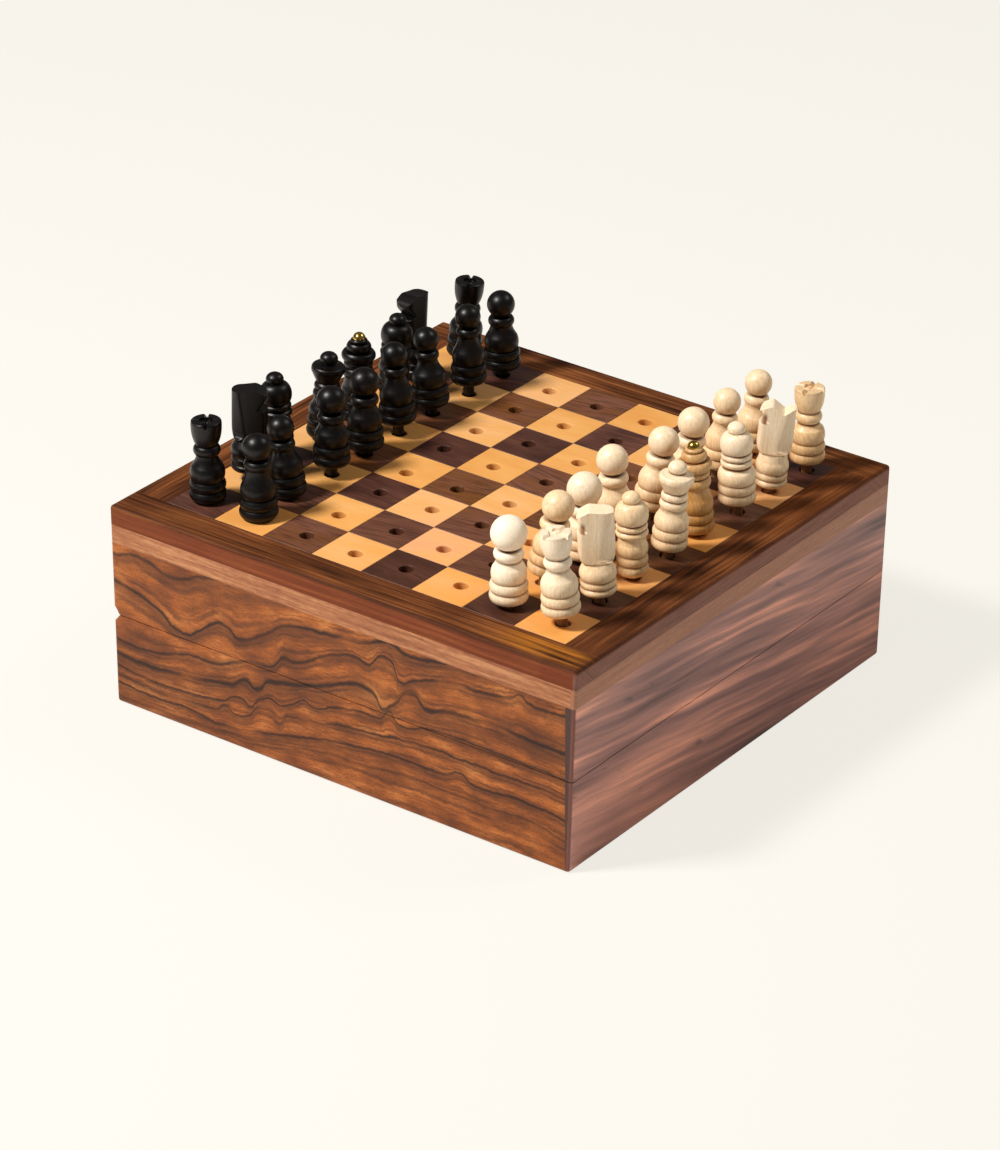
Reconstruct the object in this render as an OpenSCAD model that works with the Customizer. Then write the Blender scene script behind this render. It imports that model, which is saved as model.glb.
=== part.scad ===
// Pegged travel chess box: a square hardwood box, sawn into base and lid and hinged on a
// bevelled edge, with a drilled board on the lid and thirty-two turned men on pegs.
// +X points from the hinge side to the opening side, +Z up. The origin is the middle of
// the closed box's underside. All sizes are in millimetres.

/* [Box] */
// Width of the closed box, from the hinge side to the opening side
box_w = 127; // [118:1:150]
// Depth of the closed box along the hinge
box_d = 127; // [118:1:150]
// Thickness of the walls
wall_t = 6; // [5:0.5:8]
// Height of the base walls
base_h = 22.3; // [18:0.1:30]
// Height of the lid walls under the board
lid_wall_h = 17.7; // [14:0.1:26]
// Width of the saw cut between base and lid when closed
seam_gap = 0.2; // [0.1:0.05:0.4]
// How far the hinge side leans in from the top to the bottom
hinge_lean = 1.9; // [0:0.1:3]
// How far the outer edges are eased
edge_ease = 0.9; // [0.4:0.1:1.5]
// Width, under the board, of the opening wall's tongue over the ends of its neighbours
lap_top = 2.5; // [2:0.1:3.5]
// Width of the same tongue at the bottom
lap_bottom = 1; // [0.8:0.1:2]

/* [Bottom] */
// Thickness of the bottom panel
panel_t = 3; // [2:0.5:4]
// How far the panel reaches under the walls
panel_rabbet = 3; // [2:0.25:3.5]
// Gap round the edge of the panel
panel_gap = 0.1; // [0.05:0.05:0.3]
// Thickness of the felt on the bottom panel
felt_t = 0.8; // [0.5:0.1:1.5]
// Gap between the felt and the walls
felt_gap = 0.3; // [0.2:0.1:1]

/* [Board] */
// Thickness of the backing board under the squares
backing_t = 4.5; // [3:0.1:6]
// Thickness of the squares and their border
board_t = 4.6; // [3.5:0.1:6]
// Pitch of the squares
square_pitch = 13.6; // [12.5:0.1:14.4]
// Width of the glue line between two squares
glue_line = 0.1; // [0.05:0.05:0.2]
// Diameter of the peg holes
hole_d = 3.4; // [3.3:0.1:3.8]
// How far the mouth of a peg hole is worn open
hole_wear = 0.15; // [0.1:0.05:0.4]

/* [Hinges] */
// Size of the 45 degree bevels on both sides of the seam
bevel = 1.8; // [1.5:0.1:2.4]
// How far the hinge pin stands out from the bottom of the V between the bevels
pin_out = 0.3; // [0.2:0.05:0.5]
// Distance of each hinge from the middle of the box
hinge_y = 34; // [20:1:45]
// Length of a hinge
hinge_l = 14; // [11:0.5:18]
// Length of the lid's knuckle
lid_knuckle_l = 5; // [4:0.5:6]
// Radius of the knuckles
knuckle_r = 1.2; // [1.1:0.05:1.4]
// Gap between neighbouring knuckles, and round each one
knuckle_gap = 0.1; // [0.05:0.05:0.15]
// Width of a leaf from the pin
leaf_w = 4; // [3.8:0.1:4.2]
// Thickness of a leaf
leaf_t = 0.7; // [0.5:0.05:0.8]
// Radius of the hinge pin
pin_r = 0.45; // [0.35:0.05:0.55]
// Running clearance of the pin
pin_gap = 0.05; // [0.02:0.01:0.1]
// Radius of the pin's heads
pin_head_r = 0.8; // [0.7:0.05:1]
// Thickness of the pin's heads
pin_head_t = 0.4; // [0.3:0.05:0.6]
// Gap round a hinge in the gains cut for it
gain_gap = 0.2; // [0.1:0.05:0.3]
// Length of a hinge screw
screw_l = 4; // [3:0.5:6]
// Radius of a screw's shank
screw_r = 0.5; // [0.4:0.05:0.6]
// Radius of a screw's head
screw_head_r = 0.95; // [0.8:0.05:1]
// Height of a screw's sunk head
screw_head_h = 0.45; // [0.3:0.05:0.5]
// Clearance of a screw in its holes
screw_gap = 0.05; // [0.02:0.01:0.08]
// Distance of the screws from the pin
screw_x = 2.7; // [2.6:0.05:2.8]
// Distance of each screw from the middle of its leaf
screw_y = 4.4; // [3.2:0.1:4.8]

/* [Pegs and feet of the men] */
// Diameter of a peg
peg_d = 2.6; // [2.2:0.1:2.6]
// Gap under a peg in its hole
peg_floor_gap = 0.3; // [0.25:0.05:0.5]
// Direction in which the men lean, turned from +X
lean_turn = 35; // [0:5:90]
// Height of the ring at a man's foot
foot_h = 2.2; // [1.8:0.1:2.8]
// Height of the second ring, above the foot
band_h = 2.4; // [1.8:0.1:2.8]
// How far the second ring is set back from the foot
band_step = 0.1; // [0:0.05:0.3]
// How far the edges of the two rings swell
ring_bulge = 0.4; // [0.2:0.05:0.5]
// Height of the swollen lower part of a body
swell_h = 3.4; // [2.6:0.1:4]
// How far that part swells
swell_bulge = 0.4; // [0.2:0.05:0.5]
// How far the edges of the collars swell
collar_bulge = 0.5; // [0.3:0.05:0.6]

/* [Pawn] */
// Radius of the foot
pawn_r = 4.45; // [3.8:0.05:5]
// Radius of the body
pawn_body_r = 4.05; // [3.6:0.05:4.6]
// Radius at which a pawn's ball meets its collar, as a share of the ball's radius
pawn_seat_share = 0.42; // [0.3:0.02:0.5]
// Radius of the neck, which is less under a small collar
pawn_neck_r = 2.7; // [2.2:0.05:2.8]
// Radius of the collar under a large ball
pawn_collar_r = 3.4; // [3:0.05:3.6]
// How far the collar stays inside a small ball
pawn_collar_set = 0.2; // [0.1:0.05:0.4]
// Height of the collar
pawn_collar_h = 2.2; // [1.8:0.1:2.6]
// Height of the ball's middle above the foot's underside
pawn_ball_z = 15.8; // [15.2:0.1:17.4]

/* [Rook] */
// Radius of the foot
rook_r = 4.35; // [3.8:0.05:5]
// Radius of the body
rook_body_r = 4.1; // [3.6:0.05:4.6]
// Height of the body
rook_body_h = 5.9; // [4.8:0.1:7]
// Radius of the neck
rook_neck_r = 2.4; // [2:0.05:2.9]
// Radius of the collar
rook_collar_r = 3.1; // [2.8:0.05:3.6]
// Height of the collar
rook_collar_h = 2.3; // [1.8:0.1:3]
// Radius of the tower
rook_tower_r = 3.5; // [3.2:0.05:4]
// Height of the tower
rook_tower_h = 6; // [5:0.1:7]
// Radius of the tower where it stands on the collar
rook_tower_seat_r = 2.6; // [2.3:0.05:2.9]
// Height of the tower's cup, up to its widest
rook_cup_h = 5.2; // [4.4:0.1:5.4]
// How much the tower's rim draws in above that
rook_rim_ease = 0.25; // [0.1:0.05:0.5]
// Radius of the dish in the top
rook_dish_r = 1.6; // [1.2:0.05:2]
// Depth of the dish
rook_dish_depth = 0.6; // [0.4:0.1:1]
// Depth of the crossing V cuts that leave the battlements
rook_cut_depth = 1.2; // [0.8:0.1:1.5]
// Width of these cuts at the top
rook_cut_w = 1.4; // [1:0.1:2]

/* [Knight] */
// Radius of the foot
knight_r = 4.3; // [3.8:0.05:5]
// Height of the ring at the foot
knight_foot_h = 1.5; // [1.2:0.1:2.4]
// Height of the second ring, above the foot
knight_band_h = 1.8; // [1.4:0.1:2.4]
// Height of the swollen lower part of the body
knight_swell_h = 2.7; // [2.2:0.1:3.2]
// Height of the body
knight_body_h = 3.9; // [3.6:0.1:5]
// Radius of the neck
knight_neck_r = 3.1; // [2.8:0.05:3.3]
// Radius of the blank that the head is cut from
knight_head_r = 4.1; // [3.9:0.05:4.4]
// Height of the head
knight_head_h = 12.8; // [11:0.2:14]
// Thickness of the head between its two flat faces
knight_head_t = 4.8; // [4:0.1:5.4]
// Height at which the head has its full girth, above the neck
knight_jaw_h = 1.4; // [0.8:0.1:2]
// Height of the mouth above the neck
knight_mouth_z = 8; // [6.5:0.1:8.5]
// Depth of the mouth
knight_mouth_depth = 1.4; // [0.8:0.1:1.6]
// Distance of the tip of the brow from the axis, towards the mouth
knight_brow_x = 1.3; // [0.8:0.1:1.8]
// Fall of the top from the brow to the edge over the mouth
knight_brow_fall = 1.7; // [1:0.1:2.2]
// Distance of the notch in the top from the axis, towards the mane
knight_notch_x = 1.5; // [1:0.1:2]
// How much the ears are lower than the brow
knight_ear_fall = 0.5; // [0.2:0.1:1]
// Distance of the two facets of the mane from the axis, at their foot
knight_mane_d = 2.65; // [2.5:0.05:3]
// Angle between a facet of the mane and the flat face beside it
knight_mane_turn = 35; // [30:1:40]
// How much the facets lean out towards the top
knight_mane_lean = 3; // [1:0.5:4]
// Height of the ledge under the facets above the neck
knight_ledge_h = 0.6; // [0.3:0.1:1.2]

/* [Bishop] */
// Radius of the foot
bishop_r = 3.8; // [3.4:0.05:4.6]
// Radius of the body
bishop_body_r = 3.75; // [3.3:0.05:4.4]
// Height of the body
bishop_body_h = 4.5; // [4.2:0.1:6]
// Height of the swollen lower part of the body
bishop_swell_h = 2.9; // [2.4:0.1:3.4]
// Radius of the waist over the body
bishop_waist_r = 3; // [2.6:0.05:3.1]
// Radius of the lower collar
bishop_collar_r = 3.65; // [3.3:0.05:4]
// Height of the lower collar
bishop_collar_h = 1.5; // [1.1:0.1:2]
// Radius of the upper collar
bishop_ruff_r = 3.5; // [3.2:0.05:3.9]
// Height of the upper collar
bishop_ruff_h = 1.6; // [1.2:0.1:2.4]
// Radius of the round head
bishop_head_r = 3.7; // [3.4:0.05:4.2]
// Radius at which the head meets its collar
bishop_head_seat_r = 3; // [2.6:0.05:3.2]
// Height of the round part of the head
bishop_head_h = 3.9; // [3.2:0.1:4.4]
// Height of the shoulder between the round part and the knob
bishop_shoulder_h = 1; // [0.4:0.1:1]
// Radius of the knob on the head
bishop_knob_r = 2.05; // [1.9:0.05:2.3]
// Radius at which the knob meets the shoulder
bishop_knob_seat_r = 1.8; // [1.5:0.05:1.85]

/* [Queen] */
// Radius of the foot
queen_r = 4.15; // [3.8:0.05:5]
// Radius of the body
queen_body_r = 3.9; // [3.5:0.05:4.5]
// Height of the body
queen_body_h = 4.8; // [4.2:0.1:6]
// Height of the swollen lower part of the body
queen_swell_h = 2.9; // [2.4:0.1:3.4]
// Radius of the neck
queen_neck_r = 2.8; // [2.4:0.05:3.1]
// Radius of the lower collar
queen_collar_r = 3.2; // [2.9:0.05:3.7]
// Height of the lower collar
queen_collar_h = 2; // [1.4:0.1:2.6]
// Radius of the upper collar
queen_ruff_r = 3; // [2.7:0.05:3.5]
// Height of the upper collar
queen_ruff_h = 1.9; // [1.3:0.1:2.4]
// Radius of the crown where it stands on the collar
queen_crown_seat_r = 2.4; // [2.2:0.05:2.5]
// Radius of the crown's rim
queen_crown_r = 3.9; // [3.5:0.05:4.4]
// Height of the crown's flared part
queen_flare_h = 2.2; // [1.6:0.1:3]
// Height of the crown's rim
queen_rim_h = 1.9; // [1.4:0.1:2.4]
// Height of the crown's sloping top
queen_brow_h = 0.6; // [0.4:0.1:1]
// Radius of the knob on the crown
queen_knob_r = 2.1; // [1.7:0.05:2.4]
// Radius at which the knob meets the crown
queen_knob_seat_r = 1.6; // [1.2:0.05:1.65]

/* [King] */
// Radius of the foot
king_r = 4.15; // [3.8:0.05:5]
// Radius of the body
king_body_r = 4; // [3.6:0.05:4.6]
// Height of the body
king_body_h = 5.9; // [5:0.1:7]
// Radius of the waist over the body
king_waist_r = 3.1; // [2.8:0.05:3.2]
// Radius of the lower collar
king_collar_r = 3.6; // [3.3:0.05:4]
// Height of the lower collar
king_collar_h = 2.4; // [1.8:0.1:3]
// Radius of the upper collar
king_ruff_r = 3.4; // [3.1:0.05:3.8]
// Height of the upper collar
king_ruff_h = 1.9; // [1.4:0.1:2.4]
// Radius of the crown's disc
king_disc_r = 4; // [3.5:0.05:4.4]
// Height of the crown's disc
king_disc_h = 2.1; // [1.6:0.1:2.6]
// Radius of the dome on the disc
king_dome_r = 2.9; // [2.5:0.05:3.2]
// Height of the dome
king_dome_h = 2.1; // [1.6:0.1:2.6]
// Radius of the small step on the dome
king_step_r = 2; // [1.8:0.05:2.3]
// Height of the small step
king_step_h = 1; // [0.7:0.1:1.4]
// Radius of the brass pin's head
finial_r = 1.5; // [1.3:0.05:1.8]
// Radius of the brass pin's shank
finial_shank_r = 0.4; // [0.3:0.05:0.5]
// Length of the brass pin's shank
finial_shank_l = 4; // [3:0.5:6]
// Clearance of the brass pin in its hole
finial_gap = 0.05; // [0.02:0.01:0.1]

/* [Hidden] */
$fn = 48;
SIDES = ["white", "black"];
BACK_RANK = ["rook_1", "knight_1", "bishop_1", "queen", "king", "bishop_2", "knight_2", "rook_2"];
PAWNS = [for (n = [1 : 8]) str("pawn_", n)];

// How each man was turned and put in: the height of its foot above the board, its lean in
// degrees, how much taller and wider its body is than the pattern, its turn in degrees, and
// last the radius of a pawn's ball or the depth of the notch in a knight's top
MEN = [
    ["white_rook_1", 3.1, -5.5, 0.2, 0, -10],
    ["white_knight_1", 2.4, -4.5, 0, -0.2, 35, 0.8],
    ["white_bishop_1", 1.4, -3, 0, -0.2, 0],
    ["white_queen", 2.5, 3.5, 0, 0, 0],
    ["white_king", 1.3, -4, 0, 0, 0],
    ["white_bishop_2", 3.2, -3, -0.4, 0.6, 0],
    ["white_knight_2", 2, 3, 0.6, -0.5, 30, 2],
    ["white_rook_2", 2.9, -1, -0.8, -0.2, 10],
    ["white_pawn_1", 1.6, -1.5, 0, -0.1, 0, 4.05],
    ["white_pawn_2", 3, 7.5, 0, 0, 0, 3.6],
    ["white_pawn_3", 1.5, 0, 0, 0, 0, 3.95],
    ["white_pawn_4", 3.4, -5, 0, -0.2, 0, 3.6],
    ["white_pawn_5", 3, 8, 0, 0, 0, 3.5],
    ["white_pawn_6", 2.4, 5, 0, 0, 0, 3.6],
    ["white_pawn_7", 2.6, 5, 0, -0.2, 0, 3.15],
    ["white_pawn_8", 2.2, 4, 0, -0.1, 0, 3.15],
    ["black_rook_1", 0.7, -1.5, 0.3, -0.1, 35],
    ["black_knight_1", 3, 0, 0, 0, 215, 0.4],
    ["black_bishop_1", 2, -3, 0, 0, 0],
    ["black_queen", 1.1, 3, 0, 0, 0],
    ["black_king", 0.6, 1, -0.3, -0.2, 0],
    ["black_bishop_2", 2.2, 2.5, 0, 0, 0],
    ["black_knight_2", 2, -3.5, 0, -0.2, 85, 0.4],
    ["black_rook_2", 1.9, 3, 0, -0.1, 30],
    ["black_pawn_1", 0.6, -2, 0.8, 0, 0, 3.3],
    ["black_pawn_2", 1, -7, 0, -0.1, 0, 3.1],
    ["black_pawn_3", 3.2, -1, -0.4, -0.1, 0, 3.4],
    ["black_pawn_4", 2.3, -1.5, 0, 0, 0, 3.5],
    ["black_pawn_5", 3.6, -4, 0.5, -0.1, 0, 3.1],
    ["black_pawn_6", 3, -5.5, 0.2, 0, 0, 3],
    ["black_pawn_7", 3.6, -2, 0.5, -0.2, 0, 3],
    ["black_pawn_8", 2.5, -2.5, 0, 0, 0, 3.3]];

// How far each hole was drilled from the middle of its square, along X and Y: a row for each
// rank from the front, and in it a pair for each file from the hinge side
HOLES = [
    [[-0.1, 0], [0.5, 0.3], [0.7, -0.3], [0.8, -0.7], [0.3, 0.3], [0.8, 1.3], [0.6, 0.4], [1, 0.7]],
    [[0.6, 0.4], [-0.7, -0.5], [0.2, -1.5], [1.5, 0], [1.2, -0.5], [1, 0.5], [0.2, 0.1], [1.2, 0.8]],
    [[-0.7, -0.5], [0.2, 0.2], [0.8, -0.3], [1.4, 0], [0.9, 0.7], [0.8, 0.4], [0.8, 0.6], [0.8, 0.6]],
    [[0.7, 0.5], [-0.2, -0.2], [-0.6, -2.2], [-0.2, -1.8], [-0.2, -0.5], [-0.3, 0], [1, 0.7], [0.7, 0.5]],
    [[0.3, 0.2], [-0.5, -0.3], [-1.2, -0.4], [-0.5, -0.9], [0, 0], [-0.2, 0.2], [0.2, 0.1], [0, 0]],
    [[0.5, 0.3], [-0.7, -0.5], [-0.9, -1.7], [-1.1, 0.2], [0, -0.8], [-0.3, -0.2], [0.4, 0.3], [1.3, 0.9]],
    [[-1.2, -0.9], [-0.3, -0.2], [-0.3, -0.5], [-0.1, -0.5], [0.2, 0.3], [0, 0.2], [0.5, 0.3], [1, 0.7]],
    [[1, 0.7], [-0.3, -0.2], [0, -0.7], [0, -0.7], [0, -0.7], [0.1, -0.5], [0.6, 0.4], [2.1, 1.5]]];

// Curved sides: how quickly they curve, and into how many steps they are divided
side_power = 1.7;
side_steps = 5;

// Files and ranks of the board, and the files where each side's two rows stand
ranks = 8;
white_back_file = 7;
white_pawn_file = 6;
black_back_file = 0;
black_pawn_file = 1;

// Heights
lid_z = base_h + seam_gap;
walls_top = lid_z + lid_wall_h;
board_z = walls_top + backing_t;
box_h = board_z + board_t;

// Lengths
margin = 1;
half_w = box_w / 2;
half_d = box_d / 2;
field = ranks * square_pitch;
inner_d = box_d - 2 * wall_t;
peg_tip = 0.4;

// The hinge line: the pin stands in the V between the bevels, level with the seam
seam_z = base_h + seam_gap / 2;
seam_x = left_x(seam_z);
hinge_wall_in = seam_x + wall_t;
pin_x = seam_x + bevel - pin_out;
outer_knuckle_l = (hinge_l - lid_knuckle_l) / 2 - knuckle_gap;
outer_knuckle_y = lid_knuckle_l / 2 + knuckle_gap + outer_knuckle_l / 2;
pin_l = hinge_l + 2 * pin_gap;

// Colours
dark_walnut = [0.42, 0.25, 0.15];
red_brown = [0.50, 0.29, 0.16];
pale_brown = [0.72, 0.48, 0.33];
maple = [0.93, 0.68, 0.38];
umber = [0.33, 0.21, 0.15];
boxwood = [0.91, 0.83, 0.70];
ebony = [0.09, 0.07, 0.07];
brass = [0.80, 0.65, 0.25];
plywood = [0.70, 0.52, 0.36];
green_felt = [0.10, 0.28, 0.17];

// The hinge side's X at a height
function left_x(z) = -half_w + hinge_lean * (1 - z / box_h);

// Width of the opening wall's tongue at a height
function lap(z) = lap_bottom + (lap_top - lap_bottom) * z / walls_top;

// Middle of a file or a rank, counted from 0
function square_at(n) = (n - (ranks - 1) / 2) * square_pitch;

// A polygon's corners, each replaced by a short curve that starts and ends at length r from it
function eased(corners, r, steps = 3) = [
    for (i = [0 : len(corners) - 1])
        let (c = corners[i],
             before = corners[(i + len(corners) - 1) % len(corners)] - c,
             after = corners[(i + 1) % len(corners)] - c,
             a = c + r * before / norm(before),
             b = c + r * after / norm(after))
        for (k = [0 : steps])
            let (t = k / steps)
            (1 - t) * (1 - t) * a + 2 * t * (1 - t) * c + t * t * b];

// A rectangle's corners
function corners_of(x0, y0, x1, y1) = [[x0, y0], [x1, y0], [x1, y1], [x0, y1]];

// ---- The box ----

// A plate of thickness t drawn in the XZ plane, whose front face is at y
module upright(y, t) {
    translate([0, y + t, 0]) rotate([90, 0, 0]) linear_extrude(t) children();
}

// The closed box from outside: every outer edge eased, the hinge side leaning
module outer_form() {
    intersection() {
        upright(-half_d, box_d) polygon(eased(
            [[left_x(0), 0], [half_w, 0], [half_w, box_h], [left_x(box_h), box_h]], edge_ease));
        linear_extrude(box_h)
            polygon(eased(corners_of(-half_w, -half_d, half_w, half_d), edge_ease));
        translate([-half_w, 0, 0]) rotate([90, 0, 90]) linear_extrude(box_w)
            polygon(eased(corners_of(-half_d, 0, half_d, box_h), edge_ease));
    }
}

// The V groove that the two bevels leave along the hinge side
module bevel_groove() {
    upright(-half_d - margin, box_d + 2 * margin) polygon([
        [seam_x - margin, seam_z + seam_gap / 2 + bevel + margin],
        [seam_x + bevel, seam_z + seam_gap / 2],
        [seam_x + bevel, seam_z - seam_gap / 2],
        [seam_x - margin, seam_z - seam_gap / 2 - bevel - margin]]);
}

// The rabbet for the bottom panel, or the panel itself, drawn in by gap at its edges
module panel_space(gap, below) {
    x0 = hinge_wall_in - panel_rabbet + gap;
    x1 = half_w - wall_t + panel_rabbet - gap;
    y1 = half_d - wall_t + panel_rabbet - gap;
    translate([x0, -y1, -below]) cube([x1 - x0, 2 * y1, panel_t + below]);
}

// A front or back wall whose front face is at y; its right end stops at the tongue
module long_wall(y, z0, z1) {
    intersection() {
        outer_form();
        difference() {
            upright(y, wall_t) polygon([
                [-half_w, z0], [half_w - lap(z0), z0], [half_w - lap(z1), z1], [-half_w, z1]]);
            bevel_groove();
            panel_space(0, margin);
        }
    }
}

// The wall of the opening side: a plank between its neighbours, and a tongue over their ends
module opening_wall(z0, z1) {
    intersection() {
        outer_form();
        difference() {
            union() {
                translate([half_w - wall_t, -inner_d / 2, z0]) cube([wall_t, inner_d, z1 - z0]);
                upright(-half_d, box_d) polygon([
                    [half_w - lap(z0), z0], [half_w, z0], [half_w, z1], [half_w - lap(z1), z1]]);
            }
            panel_space(0, margin);
        }
    }
}

// The wall of the hinge side, between the front and back walls
module hinge_wall(z0, z1) {
    intersection() {
        outer_form();
        difference() {
            translate([-half_w, -inner_d / 2, z0])
                cube([hinge_wall_in + half_w, inner_d, z1 - z0]);
            bevel_groove();
            panel_space(0, margin);
            children();
        }
    }
}

module base_front_wall() { color(dark_walnut) long_wall(-half_d, 0, base_h); }
module base_back_wall() { color(dark_walnut) long_wall(half_d - wall_t, 0, base_h); }
module base_opening_wall() { color(dark_walnut) opening_wall(0, base_h); }
module base_hinge_wall() { color(dark_walnut) hinge_wall(0, base_h) at_hinges() base_gain(); }

module lid_front_wall() { color(red_brown) long_wall(-half_d, lid_z, walls_top); }
module lid_back_wall() { color(red_brown) long_wall(half_d - wall_t, lid_z, walls_top); }
module lid_opening_wall() { color(red_brown) opening_wall(lid_z, walls_top); }
module lid_hinge_wall() {
    color(red_brown) hinge_wall(lid_z, walls_top) at_hinges() mirror([0, 0, 1]) base_gain();
}

module bottom_panel() { color(plywood) panel_space(panel_gap, 0); }

module felt_lining() {
    x0 = hinge_wall_in + felt_gap;
    x1 = half_w - wall_t - felt_gap;
    y1 = inner_d / 2 - felt_gap;
    color(green_felt) translate([x0, -y1, panel_t]) cube([x1 - x0, 2 * y1, felt_t]);
}

// ---- The board ----

// A flat piece of the top, from one corner to the other, with the box's eased outer edges
module top_plate(x0, y0, x1, y1, z, t) {
    intersection() {
        outer_form();
        translate([x0, y0, z]) cube([x1 - x0, y1 - y0, t]);
    }
}

module backing_board() {
    color(pale_brown) top_plate(-half_w, -half_d, half_w, half_d, walls_top, backing_t);
}

module border_front() {
    color(umber) top_plate(-half_w, -half_d, half_w, -field / 2, board_z, board_t);
}
module border_back() {
    color(umber) top_plate(-half_w, field / 2, half_w, half_d, board_z, board_t);
}
module border_left() {
    color(umber) top_plate(-half_w, -field / 2, -field / 2, field / 2, board_z, board_t);
}
module border_right() {
    color(umber) top_plate(field / 2, -field / 2, half_w, field / 2, board_z, board_t);
}

// One square, drilled through for a peg at an offset, with the hole's mouth worn open
module board_square(offset) {
    side = square_pitch - glue_line;
    difference() {
        translate([-side / 2, -side / 2, 0]) cube([side, side, board_t]);
        translate([offset.x, offset.y, -margin])
            cylinder(h = board_t + 2 * margin, d = hole_d, $fn = 32);
        translate([offset.x, offset.y, board_t - hole_wear])
            cylinder(h = hole_wear, r1 = hole_d / 2, r2 = hole_d / 2 + hole_wear, $fn = 32);
    }
}

// Every second square; the near left corner is dark
module squares(parity) {
    for (i = [0 : ranks - 1], j = [0 : ranks - 1])
        if ((i + j) % 2 == parity)
            translate([square_at(i), square_at(j), board_z]) board_square(HOLES[j][i]);
}

module light_squares() { color(maple) squares(1); }
module dark_squares() { color(umber) squares(0); }

// ---- The hinges ----

module at_hinges() {
    for (side = [-1, 1]) translate([pin_x, side * hinge_y, seam_z]) children();
}

// A round bar along the hinge line
module bar(r, l) { rotate([90, 0, 0]) cylinder(h = l, r = r, center = true, $fn = 32); }

// Places its children at each knuckle of the base's leaf
module at_outer_knuckles() {
    for (side = [-1, 1]) translate([0, side * outer_knuckle_y, 0]) children();
}

// Places its children at the two screws of a base leaf, level with the leaf's face
module at_screws() {
    for (side = [-1, 1]) translate([screw_x, side * screw_y, -seam_gap / 2]) children();
}

// A countersunk screw pointing down, or the hole for it when grown
module screw_form(grow) {
    translate([0, 0, -screw_head_h])
        cylinder(h = screw_head_h, r1 = screw_r + grow, r2 = screw_head_r + grow, $fn = 32);
    translate([0, 0, -screw_l - grow])
        cylinder(h = screw_l + grow, r = screw_r + grow, $fn = 32);
}

// A leaf of the base without its knuckles
module leaf_plate() {
    translate([0, -hinge_l / 2, -seam_gap / 2 - leaf_t]) cube([leaf_w, hinge_l, leaf_t]);
}

// Bores a leaf for the pin and its screws
module leaf_holes() {
    bar(pin_r + pin_gap, hinge_l + 2 * margin);
    at_screws() screw_form(screw_gap);
}

module base_leaf() {
    difference() {
        union() {
            leaf_plate();
            at_outer_knuckles() bar(knuckle_r, outer_knuckle_l);
        }
        bar(knuckle_r + knuckle_gap, lid_knuckle_l + 2 * knuckle_gap);
        leaf_holes();
    }
}

module lid_leaf() {
    difference() {
        union() {
            leaf_plate();
            bar(knuckle_r, lid_knuckle_l);
        }
        at_outer_knuckles()
            bar(knuckle_r + knuckle_gap, outer_knuckle_l + 2 * knuckle_gap);
        leaf_holes();
    }
}

// What is cut from the base's wall for one hinge: the leaf's gain, the knuckles and pilot holes
module base_gain() {
    translate([0, -hinge_l / 2 - gain_gap, -seam_gap / 2 - leaf_t])
        cube([leaf_w + gain_gap, hinge_l + 2 * gain_gap, leaf_t + seam_gap + margin]);
    bar(knuckle_r + gain_gap, pin_l + 2 * (pin_head_t + gain_gap));
    at_screws() screw_form(screw_gap);
}

module hinge_pin() {
    bar(pin_r, pin_l);
    for (side = [-1, 1])
        translate([0, side * (pin_l + pin_head_t) / 2, 0]) bar(pin_head_r, pin_head_t);
}

module base_hinge_leaves() { color(brass) at_hinges() base_leaf(); }
module lid_hinge_leaves() { color(brass) at_hinges() mirror([0, 0, 1]) lid_leaf(); }
module hinge_pins() { color(brass) at_hinges() hinge_pin(); }
module base_hinge_screws() { color(brass) at_hinges() at_screws() screw_form(0); }
module lid_hinge_screws() {
    color(brass) at_hinges() mirror([0, 0, 1]) at_screws() screw_form(0);
}

// ---- The men ----
// Each profile is drawn with the radius along X and the height along Y, foot at 0. What one
// man has of its own comes from its row m of the table.

function row_of(name) = MEN[search([name], MEN)[0]];
function stand(m) = m[1];
function lean(m) = m[2];
function taller(m) = m[3];
function wider(m) = m[4];
function turn(m) = m[5];
function detail(m) = m[6];

// A turned ring of height h from z, its edge swelling out to radius r
module ring(z, h, r, bulge) {
    curve_r = (h * h / 4 + bulge * bulge) / (2 * bulge);
    translate([0, z]) square([r - bulge, h]);
    intersection() {
        translate([0, z]) square([r, h]);
        translate([r - curve_r, z + h / 2]) circle(curve_r);
    }
}

// A straight taper of height h from z
module taper(z, h, r0, r1) { polygon([[0, z], [r0, z], [r1, z + h], [0, z + h]]); }

// A curved side of height h from z: its radius goes from r0 to r1, most quickly at the bottom
module curved_side(z, h, r0, r1) {
    polygon(concat([[0, z]],
        [for (k = [0 : side_steps]) let (t = k / side_steps)
            [r1 + (r0 - r1) * pow(1 - t, side_power), z + h * t]],
        [[0, z + h]]));
}

// Height of a ball's middle above the seat where its radius is seat_r
function rise(r, seat_r) = sqrt(r * r - seat_r * seat_r);

// A ball of radius r that stands on z where its radius is seat_r, cut off at height h
module ball(z, r, seat_r, h) {
    intersection() {
        translate([0, z + rise(r, seat_r)]) circle(r);
        translate([0, z]) square([r, h]);
    }
}

// Full height of such a ball
function ball_h(r, seat_r) = rise(r, seat_r) + r;

module foot(r, h = foot_h, upper_h = band_h) {
    ring(0, h, r, ring_bulge);
    ring(h, upper_h, r - band_step, ring_bulge);
}

// The body: it swells to radius r and draws in to the neck
module body(z, h, r, neck_r, low_h = swell_h) {
    ring(z, low_h, r, swell_bulge);
    curved_side(z + low_h, h - low_h, r - swell_bulge, neck_r);
}

// Turns a profile, and the peg under it, which reaches through the board from the foot
module turned(m) {
    peg_l = board_t + stand(m) - peg_floor_gap;
    rotate_extrude() {
        polygon([[0, -peg_l], [peg_d / 2 - peg_tip, -peg_l], [peg_d / 2, -peg_l + peg_tip],
                 [peg_d / 2, 0], [0, 0]]);
        children();
    }
}

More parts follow.
